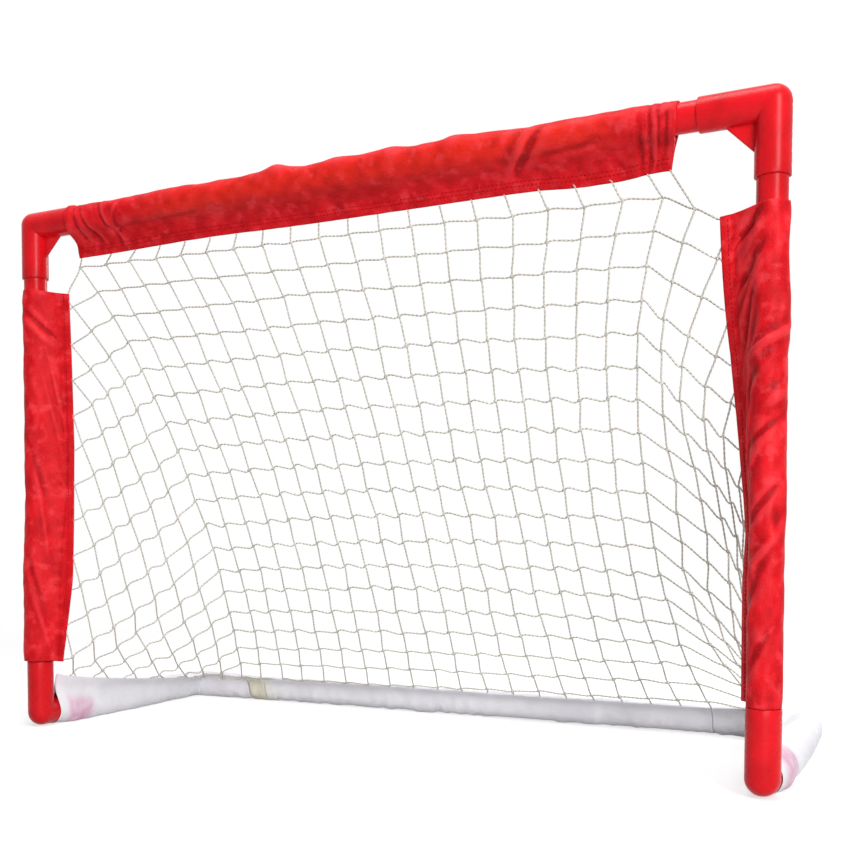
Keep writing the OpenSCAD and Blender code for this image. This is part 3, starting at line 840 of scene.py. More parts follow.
@dataclass(frozen=True)
class HemSection:
    """Cut through a sleeve: cloth round a tube, whose two layers meet in a sewn hem."""

    hem_w: float = 9 * MM
    hem_gap: float = 0.9 * MM
    edge_gap: float = 0.62 * MM
    hem_points: int = 8
    flank_points: int = 20
    arc_points: int = 40
    pull: float = 0.4
    slackness: float = 0.8
    opening_share: float = 1 / 3

    def cut(self, r: Array, reach: Array, wrap: Array) -> tuple[Array, Array]:
        """Return the cut at many stations at once.

        Args:
            r: Radius of the cloth round the tube, at each station.
            reach: Reach of the hem's edge from the tube's centre, at each station.
            wrap: How far the front layer follows the tube past its tangent, in radians.

        Returns:
            Points [towards the hem, across] and their distance along the cloth from the middle
            of the tube's far side, negative on the front layer.
        """
        r, reach, wrap = (np.asarray(v)[:, None] for v in (r, reach, wrap))
        stitch = reach - self.hem_w
        tangent = np.arccos(np.clip(r / stitch, -1, 1))
        front = self.layer(r, reach, stitch, tangent - wrap)
        back = self.layer(r, reach, stitch, tangent)
        start = tangent - wrap
        arc_share = np.linspace(0, 1, self.arc_points + 1)[None, :]
        angle = -start - (2 * math.pi - start - tangent) * arc_share
        arc = as_points(r * np.cos(angle), r * np.sin(angle))
        front = front * np.array([1.0, -1.0])
        points = np.concatenate([front, arc, back[:, ::-1]], axis=1)
        steps = np.linalg.norm(np.diff(points, axis=1), axis=-1)
        gone = np.concatenate([np.zeros((len(points), 1)), np.cumsum(steps, axis=1)], axis=1)
        middle = self.hem_points + self.flank_points + self.arc_points // 2
        return points, gone - gone[:, middle:middle + 1]

    def layer(self, r: Array, reach: Array, stitch: Array, start: Array) -> Array:
        """Return one layer from the hem's edge to the tube, without its last point.

        Args:
            r: Radius of the cloth round the tube, at each station.
            reach: Reach of the hem's edge from the tube's centre.
            stitch: Reach of the seam, at which the two layers part.
            start: Angle on the tube at which the layer meets it, from the way to the hem.

        Returns:
            Points [towards the hem, across] of the layer, at each station.
        """
        e = self.hem_gap / 2
        hem_share = np.linspace(0, 1, self.hem_points + 1)[None, :-1]
        opening = mix(self.edge_gap / 2, e, ease(hem_share / self.opening_share))
        hem = as_points(*np.broadcast_arrays(mix(reach, stitch, hem_share), opening))
        share = np.linspace(0, 1, self.flank_points + 1)[None, :-1, None]
        foot = as_points(*np.broadcast_arrays(stitch, e))
        root = as_points(r * np.cos(start), r * np.sin(start))
        length = self.pull * np.linalg.norm(root - foot, axis=-1, keepdims=True)
        heading = as_points(np.sin(start), -np.cos(start))
        level = foot - np.array([1.0, 0.0]) * length
        curve = curve_through(foot, level, root + heading * length, root, share)
        return np.concatenate([hem, mix(mix(foot, root, share), curve, self.slackness)], axis=1)


@dataclass(frozen=True)
class Fold:
    """One ridge or valley in a sleeve, from a start to an end on the cloth's own map, in millimetres."""

    start: tuple[float, float]
    end: tuple[float, float]
    width: float
    height: float

    def lift(self, run: Array, across: Array) -> Array:
        """Return how far this fold lifts the cloth at each place of its map."""
        a, b = np.array(self.start) * MM, np.array(self.end) * MM
        middle, half = (a + b) / 2, float(np.linalg.norm(b - a)) / 2
        way = (b - a) / (2 * half)
        x, y = run - middle[0], across - middle[1]
        forth, aside = x * way[0] + y * way[1], x * way[1] - y * way[0]
        return self.height * MM * bell(aside, self.width * MM) * bell(forth, half)


def fold_rows(*rows: tuple[float, ...]) -> tuple[Fold, ...]:
    """Return folds from rows of start run, start across, end run, end across, width and height."""
    return tuple(Fold(row[:2], row[2:4], *row[4:]) for row in rows)


CROSSBAR_FOLDS = fold_rows(
    (-275, -10, -264, -46, 1.5, -2.0), (-271, -12, -260, -44, 1.4, 1.2), (-285, 0, -279, -48, 1.6, -1.5),
    (-254, -2, -245, -44, 1.5, -1.9), (-250, -4, -241, -44, 1.3, 1.3), (-232, -3, -237, -13, 1.4, 1.3),
    (-236, -14, -242, -38, 1.8, -1.4), (-72, -1, -48, -1, 7.0, 3.4), (-18, -3, 12, -3, 7.0, 2.1),
    (40, -2, 62, -3, 7.0, 2.4), (96, -2, 112, -4, 7.0, 1.8), (168, -4, 144, -40, 2.6, 2.1),
    (176, -6, 152, -40, 3.6, -2.7), (156, -30, 236, -20, 4.2, -2.1), (176, -12, 246, -6, 5.0, 1.4),
    (-215, -27, -128, -24, 4.0, -1.3), (250, -12, 253, -50, 1.8, -1.4), (258, 2, 260, -52, 1.0, -1.6),
    (261.5, -2, 264, -50, 1.1, 1.0), (265, 2, 266, -48, 0.9, -1.7), (270.5, 0, 271, -44, 1.2, -1.3),
)
LEFT_POST_FOLDS = fold_rows(
    (24, -18, 44, -41, 2.4, -2.0), (30, -14, 50, -36, 2.6, 1.2), (58, -34, 146, -52, 1.3, 0.9),
    (84, -30, 150, -44, 1.5, 0.7), (66, -46, 150, -47, 2.0, -0.9), (150, -14, 205, -34, 3.0, -1.2),
    (190, -24, 262, -40, 2.2, 1.1), (250, -16, 310, -36, 3.0, -1.5), (300, -26, 350, -42, 2.4, 1.2),
    (10, -51, 350, -51, 1.6, -0.6),
)
RIGHT_POST_FOLDS = fold_rows(
    (4, -25, 21, -47, 3.6, -4.4), (15, -22, 33, -42, 3.0, 2.7), (30, -22, 54, -46, 3.8, -4.8),
    (46, -22, 80, -46, 2.4, 2.2), (62, -30, 104, -46, 3.4, -2.7), (74, -24, 98, -27, 3.0, -3.7),
    (88, 3, 108, -25, 3.2, 3.7), (116, -18, 126, -28, 3.2, -3.7), (104, -25, 152, -42, 2.2, 3.1),
    (104, -33, 150, -49, 3.2, -2.7), (132, 4, 142, -8, 4.0, 2.4), (144, -23, 212, -35, 2.2, 3.2),
    (140, -34, 214, -42, 3.4, -3.7), (152, 0, 168, -21, 2.4, -2.7), (172, -12, 192, -26, 2.4, 1.7),
    (200, 0, 224, -20, 2.6, -3.4), (214, 3, 230, 1, 4.0, -2.0), (236, 0, 262, -22, 3.0, 2.2),
    (258, -10, 292, -26, 3.6, -2.5), (300, -2, 330, -18, 3.2, -2.0), (10, -48.5, 340, -48.5, 1.8, -1.7),
)


@dataclass(frozen=True)
class Sleeve:
    """Cloth sleeve along a line: stations with their frames, sizes, folds and stitches."""

    goal: GoalFrame
    name: str
    slot: str
    finish: Finish
    section: HemSection
    thickness: float = 0.6 * MM
    spacing: float = 1.4 * MM
    seed: int = 1
    folds: tuple[Fold, ...] = ()
    carriers: tuple[str, ...] = ()
    least_wrap: float = 0.15
    wrap_play: float = 0.1
    deepest: float = 1.6 * MM
    clearance: float = 0.06 * MM
    stitch_stand: float = 0.6

    def span(self) -> tuple[float, float]:
        """Return the places along its line at which the sleeve starts and ends."""
        raise NotImplementedError

    def stations(self) -> Array:
        """Return the stations' places along the line."""
        low, high = self.span()
        return np.linspace(low, high, int((high - low) / self.spacing) + 1)

    def frames(self, runs: Array) -> Triple:
        """Return each station's centre, its way towards the hem and its way across."""
        raise NotImplementedError

    def sizes(self, runs: Array) -> Triple:
        """Return each station's cloth radius, hem reach and front wrap."""
        raise NotImplementedError

    def lift(self, runs: Array, across: Array) -> Array:
        """Return how far the cloth stands off its plain form at each grid point."""
        return sum((fold.lift(runs, across) for fold in self.folds), np.zeros(across.shape))

    def tone(self, runs: Array, across: Array) -> Array:
        """Return the share of the finish's second tone at each grid point."""
        return np.zeros(across.shape)

    def hollow(self, runs: Array, across: Array) -> Array:
        """Return how far each grid point lies below the cloth round it, as a share about 0.5, for painted
        shade and highlight.
        """
        height = self.lift(runs, across)
        around = np.zeros(height.shape)
        for rows, columns in ((3, 0), (-3, 0), (0, 3), (0, -3), (6, 0), (-6, 0)):
            around += np.roll(height, (rows, columns), axis=(0, 1)) / 6
        return np.clip(0.5 + (around - height) / self.deepest, 0, 1)

    def place(self, runs: Array, plane: Array) -> Array:
        """Return the grid of the cut's plane points in the goal's frame."""
        centre, to_hem, way = self.frames(runs)
        return centre[:, None] + plane[..., :1] * to_hem[:, None] + plane[..., 1:] * way[:, None]

    def grid(self) -> Triple:
        """Return the sleeve's points, its stations along and its distances across."""
        runs = self.stations()
        plane, across = self.section.cut(*self.sizes(runs))
        run_grid = np.broadcast_to(runs[:, None], across.shape)
        ahead = np.gradient(plane, axis=1)
        outward = unit(as_points(-ahead[..., 1], ahead[..., 0]))
        lifted = plane + outward * self.lift(run_grid, across)[..., None]
        away = np.linalg.norm(lifted, axis=-1)
        lifted *= np.maximum(1.0, self.least_radius(runs)[:, None] / away)[..., None]
        return self.place(runs, lifted), run_grid, across

    def least_radius(self, runs: Array) -> Array:
        """Return how near the tube's axis the cloth may come, on the tube that it lies on."""
        return np.zeros(runs.shape) + self.goal.tube_r + 0.5 * self.thickness + self.clearance

    def build(self, node: str) -> Piece:
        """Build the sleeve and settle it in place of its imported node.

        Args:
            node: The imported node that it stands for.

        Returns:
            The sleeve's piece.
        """
        points, runs, across = self.grid()
        cloth = as_points(runs, across)
        piece = cloth_grid(self.name, points, cloth, self.tone(runs, across), self.finish, self.thickness,
                           self.hollow(runs, across))
        settle(piece, self.slot, node)
        return piece

    def stitch_line(self, inset: float, side: int) -> Array:
        """Return a line of stitches on the hem's face.

        Args:
            inset: Distance from the hem's edge.
            side: The layer that the line lies on, the front (-1) or the back (1).

        Returns:
            Points along the hem, a little short of its ends.
        """
        points, _, across = self.grid()
        edge = across[:, :1] if side < 0 else across[:, -1:]
        column = np.argmin(np.abs(np.abs(across - edge) - inset), axis=1)
        rows = np.arange(len(points))
        _, _, way = self.frames(self.stations())
        line = points[rows, column] + side * way * self.thickness * self.stitch_stand
        return line[3:-3]


@dataclass(frozen=True)
class CrossbarSleeve(Sleeve):
    """Red sleeve on the crossbar, whose hem hangs down behind the bar and carries the net's top."""

    left: float = -294.4 * MM
    right: float = 278 * MM
    over_mouth: float = 1.2 * MM
    cloth_r: float = 12.2 * MM
    reach: float = 35.6 * MM
    hem_angle: float = 30.0
    left_turn: Swell = Swell(0, 60, 4.0)
    left_drawn: Swell = Swell(0, 40, 5.5)
    right_drawn: Swell = Swell(0, 45, 9.5)
    cling: Swell = Swell(-205, 80, 0.5)
    droop: Swell = Swell(-150, 70, -1.6)
    bag: Swell = Swell(212, 36, 3.0)
    scallops: Swell = Swell(235, 45, 0.5)
    over_bar: Swell = Swell(-2, 15)
    flank: Swell = Swell(32, 16)
    hem: Swell = Swell(47, 5)
    left_gather: Swell = Swell(0, 75, 1.3)
    right_gather: Swell = Swell(0, 60, 0.9)
    least_gather: float = 0.5
    left_pleats: Swell = Swell(0, 40)
    right_pleats: Swell = Swell(0, 40, 0.5)
    fullness: float = 1.04 * MM
    slack: Ripple = Ripple(1.3, 30, 1.4)
    crumple: Ripple = Ripple(0.3, 11, 1.4, seed=3)
    pucker: Ripple = Ripple(0.4, 5, 0.25, seed=5)
    pleat: Ripple = Ripple(0.8, 6.5, 0.12, seed=7)
    slack_fades: tuple[float, float] = (90 * MM, 60 * MM)
    lit: Swell = Swell(-14, 13, 0.5)
    lit_ends: tuple[float, float] = (-240 * MM, 262 * MM)
    lit_fades: tuple[float, float] = (80 * MM, 60 * MM)
    mouth_from: float = 3.5 * MM
    mouth_fade: float = 4 * MM
    wrap_wave: float = 37 * MM
    scallop_wave: float = 9 * MM

    def span(self) -> tuple[float, float]:
        """Return the sleeve's ends along the bar."""
        return self.left, self.right

    def hem_turn(self, runs: Array) -> Array:
        """Return the hem's angle behind straight down, which is a little less at the left end."""
        return np.radians(self.hem_angle - self.left_turn.of(runs - self.left))

    def frames(self, runs: Array) -> Triple:
        """Return the frames along the crossbar."""
        turn = self.hem_turn(runs)
        zero = np.zeros(runs.shape)
        centre = as_points(runs, zero + self.goal.front_y, zero + self.goal.top_z)
        to_hem = as_points(zero, np.sin(turn), -np.cos(turn))
        way = as_points(zero, np.cos(turn), np.sin(turn))
        return centre, to_hem, way

    def sizes(self, runs: Array) -> Triple:
        """Return the radius, reach and front wrap; the cloth clings to the bar at the left."""
        zero = np.zeros(runs.shape)
        wrap = self.cling.of(runs) + self.least_wrap + self.wrap_play * np.sin(runs / self.wrap_wave)
        scallops = np.sin(runs / self.scallop_wave) * self.scallops.of(runs)
        uneven = self.droop.of(runs) + self.bag.of(runs) + scallops
        mouth = self.over_mouth * (1 - ease((runs - self.left - self.mouth_from) / self.mouth_fade))
        return zero + self.cloth_r + mouth, zero + self.reach + uneven * MM, wrap

    def lift(self, runs: Array, across: Array) -> Array:
        """Return slack over the top of the bar, puckers at the ends and the folds.

        Args:
            runs: Places along the bar.
            across: Distances round the cloth from the middle of the bar's far side.

        Returns:
            How far the cloth stands off its plain form.
        """
        base = super().lift(runs, across)
        from_left, from_right, aside = runs - self.left, runs - self.right, np.abs(across)
        middle = between(runs, self.span(), self.slack_fades)
        slack = middle * (self.fullness + self.slack.of(runs, across, self.seed))
        gather = self.least_gather + self.left_gather.of(from_left) + self.right_gather.of(from_right)
        pucker = gather * self.hem.of(aside) * self.pucker.of(runs, across, self.seed)
        ends = self.left_pleats.of(from_left) + self.right_pleats.of(from_right)
        pleats = ends * self.flank.of(aside) * self.pleat.of(runs, across, self.seed)
        small = self.crumple.of(runs, across, self.seed)
        return base + self.over_bar.of(across) * np.maximum(slack, 0) + small + pucker + pleats

    def place(self, runs: Array, plane: Array) -> Array:
        """Return the grid with the sleeve's ends drawn along the bar towards their hems."""
        points = super().place(runs, plane)
        share = np.clip(plane[..., 0] / self.reach, 0, 1)
        drawn = self.left_drawn.of(runs - self.left) + self.right_drawn.of(runs - self.right)
        points[..., 0] -= drawn[:, None] * MM * share
        return points

    def tone(self, runs: Array, across: Array) -> Array:
        """Return the share of painted light, warmer in hue, along the bar's top."""
        return self.lit.of(across) * between(runs, self.lit_ends, self.lit_fades)

    def hem_point(self, x: float, inset: float = 0.0) -> Array:
        """Return a point on the hem's edge, or inset into it."""
        runs = np.array([x])
        centre, to_hem, _ = self.frames(runs)
        return (centre + to_hem * (self.reach - inset))[0]


@dataclass(frozen=True)
class PostSleeve(Sleeve):
    """Red sleeve on a post, whose hem turns back as it goes down."""

    side: int = 1
    top: float = 424.3 * MM
    foot: float = 65.2 * MM
    cloth_r: float = 12.2 * MM
    reach: float = 36 * MM
    draw: float = 6 * MM
    drop: float = 8 * MM
    slack: float = 0.0
    rounded: Swell = Swell(0, 34)
    hem: Swell = Swell(49, 5)
    pucker: Ripple = Ripple(0.4, 6, 0.25, seed=5)
    billow: Ripple = Ripple(1.1, 28, 1.2, slant=0.8, lengthwise=0.55, skew=-0.3)
    crumple: Ripple = Ripple(0.4, 8, 1.2, slant=0.8, lengthwise=0.55, skew=-0.3, seed=2)
    sagging: Swell = Swell(0, 45)
    snug_ends: tuple[float, float] = (12 * MM, 8 * MM)
    draw_from: float = 0.75
    slack_from: float = 0.5
    slack_rise: float = 0.3
    snug: float = 0.5 * MM
    snug_top: float = 14 * MM
    wrap_turns: float = 9.0
    least_slack: float = -0.3 * MM
    turns: Pairs = ((0.0, 3.0), (1.0, 55.0))

    def share(self, runs: Array) -> Array:
        """Return the share of the way down the sleeve."""
        return runs / (self.top - self.foot)

    def span(self) -> tuple[float, float]:
        """Return the sleeve's ends, down from its top."""
        return 0.0, self.top - self.foot

    def frames(self, runs: Array) -> Triple:
        """Return the frames down the post."""
        angle = np.radians(along(self.turns, self.share(runs)))
        zero = np.zeros(runs.shape)
        side = self.side
        x, y = zero + side * self.goal.half_w, zero + self.goal.front_y
        centre = as_points(x, y, self.top - runs)
        to_hem = as_points(-side * np.cos(angle), np.sin(angle), zero)
        way = as_points(side * np.sin(angle), np.cos(angle), zero)
        return centre, to_hem, way

    def sizes(self, runs: Array) -> Triple:
        """Return the radius, the reach, which is drawn in at the foot, and the wrap."""
        share = self.share(runs)
        zero = np.zeros(runs.shape)
        reach = self.reach - self.draw * ease((share - self.draw_from) / (1 - self.draw_from))
        r = self.cloth_r - self.snug * (1 - ease(runs / self.snug_top))
        r = r + self.slack * ease((share - self.slack_from) / self.slack_rise)
        wrap = self.least_wrap + self.wrap_play * np.sin(share * self.wrap_turns + self.seed)
        return zero + r, reach, wrap

    def lift(self, runs: Array, across: Array) -> Array:
        """Return the diagonal slack round the post, its puckers and folds."""
        base = super().lift(runs, across)
        slack = self.billow.of(runs, across, self.seed)
        small = self.crumple.of(runs, across, self.seed)
        pucker = self.hem.of(np.abs(across)) * self.pucker.of(runs, across, self.seed)
        slack = between(runs, self.span(), self.snug_ends) * np.maximum(slack, self.least_slack)
        return base + self.rounded.of(across) * (slack + small) + pucker

    def sunk(self, runs: Array) -> Array:
        """Return how far the hem lies below its station, near the sleeve's top."""
        return self.drop * self.sagging.of(runs)

    def place(self, runs: Array, plane: Array) -> Array:
        """Return the grid with its top edge sloping down to the hem."""
        points = super().place(runs, plane)
        points[..., 2] -= self.sunk(runs)[:, None] * np.clip(plane[..., 0] / self.reach, 0, 1)
        return points

    def hem_point(self, z: float, inset: float = 0.0) -> Array:
        """Return a point on the hem's edge at a height, or inset into it."""
        every = np.linspace(0, self.top - self.foot, 200)
        heights = self.top - every - self.sunk(every)
        runs = np.array([np.interp(-z, -heights, every)])
        centre, to_hem, _ = self.frames(runs)
        _, reach, _ = self.sizes(runs)
        point = (centre + to_hem * (reach[:, None] - inset))[0]
        point[2] -= self.sunk(runs)[0]
        return point


@dataclass(frozen=True)
class BaseSleeve(Sleeve):
    """White sleeve along the base: a stretch of the line down one side, round a corner or along the rear.

    Stations run along the tubes' centre line, from the right post back, round the bend and along
    the rear tube to its middle and beyond; the left side is its mirror.
    """

    side: int = 1
    start: float = 14 * MM
    end: float = 211.85 * MM
    bend_r: float = 15.2 * MM
    mitre_r: float = 1 * MM
    mouth: float = 17 * MM
    mouth_play: float = 0.8 * MM
    seam: float = 0.4 * MM
    forward: Swell = Swell(14, 16, 11.0)
    drawn: float = 50 * MM
    side_seam: float = 52 * MM
    rear_seam: float = 83 * MM
    reaches: tuple[float, float, float] = (38 * MM, 33 * MM, 30 * MM)
    leans: tuple[float, float, float] = (12.0, 64.0, 60.0)
    radii: tuple[float, float, float] = (16.9 * MM, 14.3 * MM, 12.5 * MM)
    snug_ends: tuple[float, float] = (5 * MM, 5 * MM)
    least_slack: float = -0.5 * MM
    touch: tuple[float, float] = (22 * MM, 66 * MM)
    touch_fades: tuple[float, float] = (8 * MM, 16 * MM)
    touch_low: tuple[float, float] = (38 * MM, 16 * MM)
    flap: tuple[float, float] = (22 * MM, 10 * MM)
    late_from: float = 0.6
    opened: tuple[float, float] = (16 * MM, 20 * MM)
    least_wrap: float = 0.1
    outside: Swell = Swell(0, 38)
    gather: Swell = Swell(0, 26)
    soft: Ripple = Ripple(1.0, 24, 0.9)
    ring: Ripple = Ripple(0.9, 9, 0.18, seed=2)
    dent: Ripple = Ripple(0.5, 9, 0.5, slant=0.5, seed=4)

    @property
    def straight(self) -> float:
        """Return the length of the side's straight stretch, from the post to the bend."""
        return self.goal.depth - self.bend_r

    @property
    def bend(self) -> float:
        """Return the length of the bend's centre line."""
        return self.bend_r * math.pi / 2

    @property
    def bend_end(self) -> float:
        """Return the distance along the line at which the bend ends."""
        return self.straight + self.bend

    def span(self) -> tuple[float, float]:
        """Return the sleeve's ends along the base line."""
        return self.start, self.end

    def side_share(self, runs: Array) -> Array:
        """Return the share of the way from the foot to the side seam."""
        return np.clip((runs - self.mouth) / (self.goal.depth - self.side_seam - self.mouth), 0, 1)

    def rear_share(self, runs: Array) -> Array:
        """Return the share of the way from the rear elbow's mouth to the rear seam, on both ends."""
        x = np.abs(self.goal.half_w - self.bend_r - (runs - self.bend_end))
        share = (self.goal.half_w - self.goal.elbow_leg - x) / (self.rear_seam - self.goal.elbow_leg)
        return np.where(runs > self.bend_end, np.clip(share, 0, 1), 0.0)

    def turned(self, runs: Array) -> Array:
        """Return the share of the bend that is behind each station."""
        return np.clip((runs - self.straight) / self.bend, 0, 1)

    def varied(self, runs: Array, values: tuple[float, float, float], to_corner: Array,
               to_rear: Array) -> Array:
        """Return a size that goes from the side's value to the corner's and on to the rear's."""
        side, corner, rear = values
        return np.where(runs < self.straight, mix(side, corner, to_corner), mix(corner, rear, to_rear))

    def hem_reach(self, runs: Array) -> Array:
        """Return the hem's reach, which shrinks from the foot to the rear."""
        return self.varied(runs, self.reaches, self.side_share(runs), self.rear_share(runs)) - self.seam

    def hem_lean(self, runs: Array) -> Array:
        """Return the hem's lean towards the goal's inside, in radians."""
        return np.radians(self.varied(runs, self.leans, np.sqrt(self.side_share(runs)), self.turned(runs)))

    def sizes(self, runs: Array) -> Triple:
        """Return the radius, which is slack at the foot and snug at the rear, the reach and the wrap."""
        late = ease((self.side_share(runs) - self.late_from) / (1 - self.late_from))
        start, length = self.opened
        r = self.varied(runs, self.radii, late, self.rear_share(runs))
        r = mix(self.goal.elbow_r + self.mouth_play, r, ease((runs - start) / length))
        return r, self.hem_reach(runs), np.zeros(runs.shape) + self.least_wrap

    def least_radius(self, runs: Array) -> Array:
        """Return how near the axis the cloth may come, over the elbows and the rear tube."""
        on_elbow = self.goal.elbow_r + 0.5 * self.thickness + 0.1 * MM
        return np.minimum(on_elbow, self.sizes(runs)[0] - 0.3 * MM)

    def outward(self, runs: Array, out: Array, up: Array) -> Array:
        """Return points beside the base line, in the goal's frame.

        Args:
            runs: Places along the line.
            out: Distances out of the goal from the line, for each place.
            up: Distances above the line, for each place.

        Returns:
            Points that follow the side, the bend and the rear.
        """
        goal = self.goal
        angle = self.turned(runs) * math.pi / 2
        angle, run = np.broadcast_to(angle[:, None], out.shape), np.broadcast_to(runs[:, None], out.shape)
        r = np.maximum(self.bend_r + out, self.mitre_r)
        c = out - r
        bend_x = goal.half_w + c + r * np.cos(angle)
        bend_y = goal.rear_y + c + r * np.sin(angle)
        # Beside the bend the flap is drawn back to its mitre, so that it doesn't run past it
        over = np.maximum(0.0, -(c + self.bend_r))
        before = over * np.clip(1 - (self.straight - run) / self.drawn, 0, 1)
        after = over * np.clip(1 - (run - self.bend_end) / self.drawn, 0, 1)
        on_side, on_rear = run < self.straight, run > self.bend_end
        x = np.where(on_side, goal.half_w + out,
                     np.where(on_rear, goal.half_w - self.bend_r - (run - self.bend_end) - after, bend_x))
        y = np.where(on_side, goal.front_y + run - before, np.where(on_rear, goal.rear_y + out, bend_y))
        return as_points(self.side * x, y, goal.base_z + up)

    def place(self, runs: Array, plane: Array) -> Array:
        """Return the grid with its hem leaning in and its bottom laid flat on the floor."""
        lean = self.hem_lean(runs)[:, None]
        forth, across = plane[..., 0], -plane[..., 1]
        out = across * np.cos(lean) - forth * np.sin(lean)
        up = forth * np.cos(lean) + across * np.sin(lean)
        floor = -self.goal.base_z + 0.5 * self.thickness + 0.05 * MM
        points = self.outward(runs, out, np.maximum(up, floor))
        # At the foot the cloth's outside reaches forward beside the elbow
        near = self.forward.of(runs) * MM
        points[..., 1] -= near[:, None] * np.clip(out / (self.forward.width * MM), 0, 1)
        return points

    def frames(self, runs: Array) -> Triple:
        """Return the frames along the base line, with the way across pointing out of the goal."""
        zero = np.zeros((len(runs), 1))
        centre = self.outward(runs, zero, zero)[:, 0]
        lean = self.hem_lean(runs)[:, None]
        hem = self.outward(runs, -np.sin(lean) * 10 * MM, np.cos(lean) * 10 * MM)[:, 0]
        way = self.outward(runs, np.cos(lean) * 10 * MM, np.sin(lean) * 10 * MM)[:, 0]
        return centre, unit(hem - centre), unit(way - centre)

    def lift(self, runs: Array, across: Array) -> Array:
        """Return the slack ring folds on the outside and the soft dents of the flap."""
        base = super().lift(runs, across)
        soft, rings, dents = (wave.of(runs, across, self.seed) for wave in (self.soft, self.ring, self.dent))
        ends = between(runs, self.span(), self.snug_ends)
        # The flap is gathered tight where it turns the corner
        gathered = self.gather.of(runs - self.straight - 0.5 * self.bend)
        gathered = gathered * ease((np.abs(across) - self.flap[0]) / self.flap[1])
        slack = np.maximum(soft + rings, self.least_slack) * ends + dents
        return (base + self.outside.of(across) * slack) * (1 - gathered)

    def tone(self, runs: Array, across: Array) -> Array:
        """Return where the cloth lies on the red foot elbow."""
        low = 1 - ease((np.abs(across) - self.touch_low[0]) / self.touch_low[1])
        return between(runs, self.touch, self.touch_fades) * low

    def hem_point(self, run: float, inset: float = 0.0) -> Array:
        """Return a point on the hem's edge, or inset into it."""
        runs = np.array([run])
        reach = self.hem_reach(runs) - inset
        lean = self.hem_lean(runs)
        return self.outward(runs, (-np.sin(lean) * reach)[:, None], (np.cos(lean) * reach)[:, None])[0, 0]


@dataclass(frozen=True)
class Sleeves:
    """All sleeves of the goal, with their stitches."""

    goal: GoalFrame
    red_section: HemSection = HemSection()
    white_section: HemSection = HemSection(hem_gap=0.7 * MM, edge_gap=0.47 * MM, arc_points=34)

    def crossbar(self) -> CrossbarSleeve:
        """Return the crossbar's sleeve."""
        return CrossbarSleeve(self.goal, "crossbar_sleeve_cloth", "red_cloth", RED_KNIT, self.red_section,
                              folds=CROSSBAR_FOLDS, seed=3,
                              carriers=("crossbar_tube_left", "crossbar_tube_right"))

    def post(self, side: int) -> PostSleeve:
        """Return a post's sleeve, whose hem turns and reaches as that side's does.

        Args:
            side: The left post (-1) or the right (1).

        Returns:
            The sleeve, with its folds.
        """
        shared = dict(side=side, seed=17 + 6 * side, carriers=(f"post_tube_{SIDES[side]}",))
        if side < 0:
            shape = dict(reach=38 * MM, draw=9 * MM, drop=5.4 * MM, slack=3 * MM, top=428.3 * MM,
                         folds=LEFT_POST_FOLDS,
                         turns=((0.0, 8.0), (0.21, 14.0), (0.42, 19.0), (0.61, 15.0), (0.83, 8.0),
                                (0.94, 7.0), (1.0, 1.0)))
        else:
            shape = dict(reach=36 * MM, draw=1 * MM, drop=4.5 * MM, slack=0.0, top=421.4 * MM,
                         folds=RIGHT_POST_FOLDS,
                         turns=((0.0, 3.0), (0.18, 21.0), (0.28, 33.0), (0.41, 44.0), (0.58, 55.0),
                                (0.65, 58.0), (0.75, 55.0), (1.0, 55.0)))
        return PostSleeve(self.goal, f"post_sleeve_{SIDES[side]}_cloth", "red_cloth", RED_KNIT,
                          self.red_section, **shared, **shape)

    def base(self, side: int, name: str, start: float, end: float, seed: int,
             carriers: tuple[str, ...] = ()) -> BaseSleeve:
        """Return one base sleeve between two distances along the base line."""
        return BaseSleeve(self.goal, name, "white_cloth", WHITE_SATIN, self.white_section, seed=seed,
                          thickness=0.45 * MM, side=side, start=start, end=end, carriers=carriers)

    def line(self, side: int) -> BaseSleeve:
        """Return the whole base line of one side, for what is sewn to it."""
        return self.base(side, "line", 14 * MM, 1.0, 0)

    def base_line(self) -> dict[str, BaseSleeve]:
        """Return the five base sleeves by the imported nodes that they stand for."""
        gap = 0.15 * MM
        line = self.line(1)
        side_end = self.goal.depth - line.side_seam
        rear_from = line.bend_end + line.rear_seam - line.bend_r
        rear_to = line.bend_end + 2 * (self.goal.half_w - line.bend_r) - line.rear_seam + line.bend_r
        found = {}
        for side, word in SIDES.items():
            found[f"side_sleeve_{word}"] = self.base(side, f"side_sleeve_{word}_cloth", line.start,
                                                     side_end - gap, 31 + side, (f"side_tube_{word}",))
            found[f"corner_sleeve_{word}"] = self.base(side, f"corner_sleeve_{word}_cloth", side_end + gap,
                                                       rear_from - gap, 41 + side, (f"rear_elbow_{word}",))
        found["rear_sleeve"] = self.base(1, "rear_sleeve_cloth", rear_from + gap, rear_to - gap, 53,
                                         ("rear_tube_left", "rear_tube_right"))
        return found

    def build(self) -> None:
        """Build every sleeve and the stitches along the red hems."""
        crossbar = self.crossbar()
        crossbar.build("crossbar_sleeve")
        thread = RepeatTree(Repeat.STITCH, width=0.7 * MM, pitch=3.4 * MM, step=2.5 * MM)
        lines = [crossbar.stitch_line(inset, layer) for inset in (6 * MM, 9 * MM) for layer in (-1, 1)]
        settle(thread.lay("crossbar_stitches", lines, RED_THREAD), "red_cloth")
        for side, word in SIDES.items():
            post = self.post(side)
            post.build(f"post_sleeve_{word}")
            lines = [post.stitch_line(6 * MM, -1), post.stitch_line(6 * MM, 1)]
            settle(thread.lay(f"post_stitches_{word}", lines, RED_THREAD), "red_cloth")
        for node, sleeve in self.base_line().items():
            sleeve.build(node)


# ---------------------------------------------------------------- tape and label

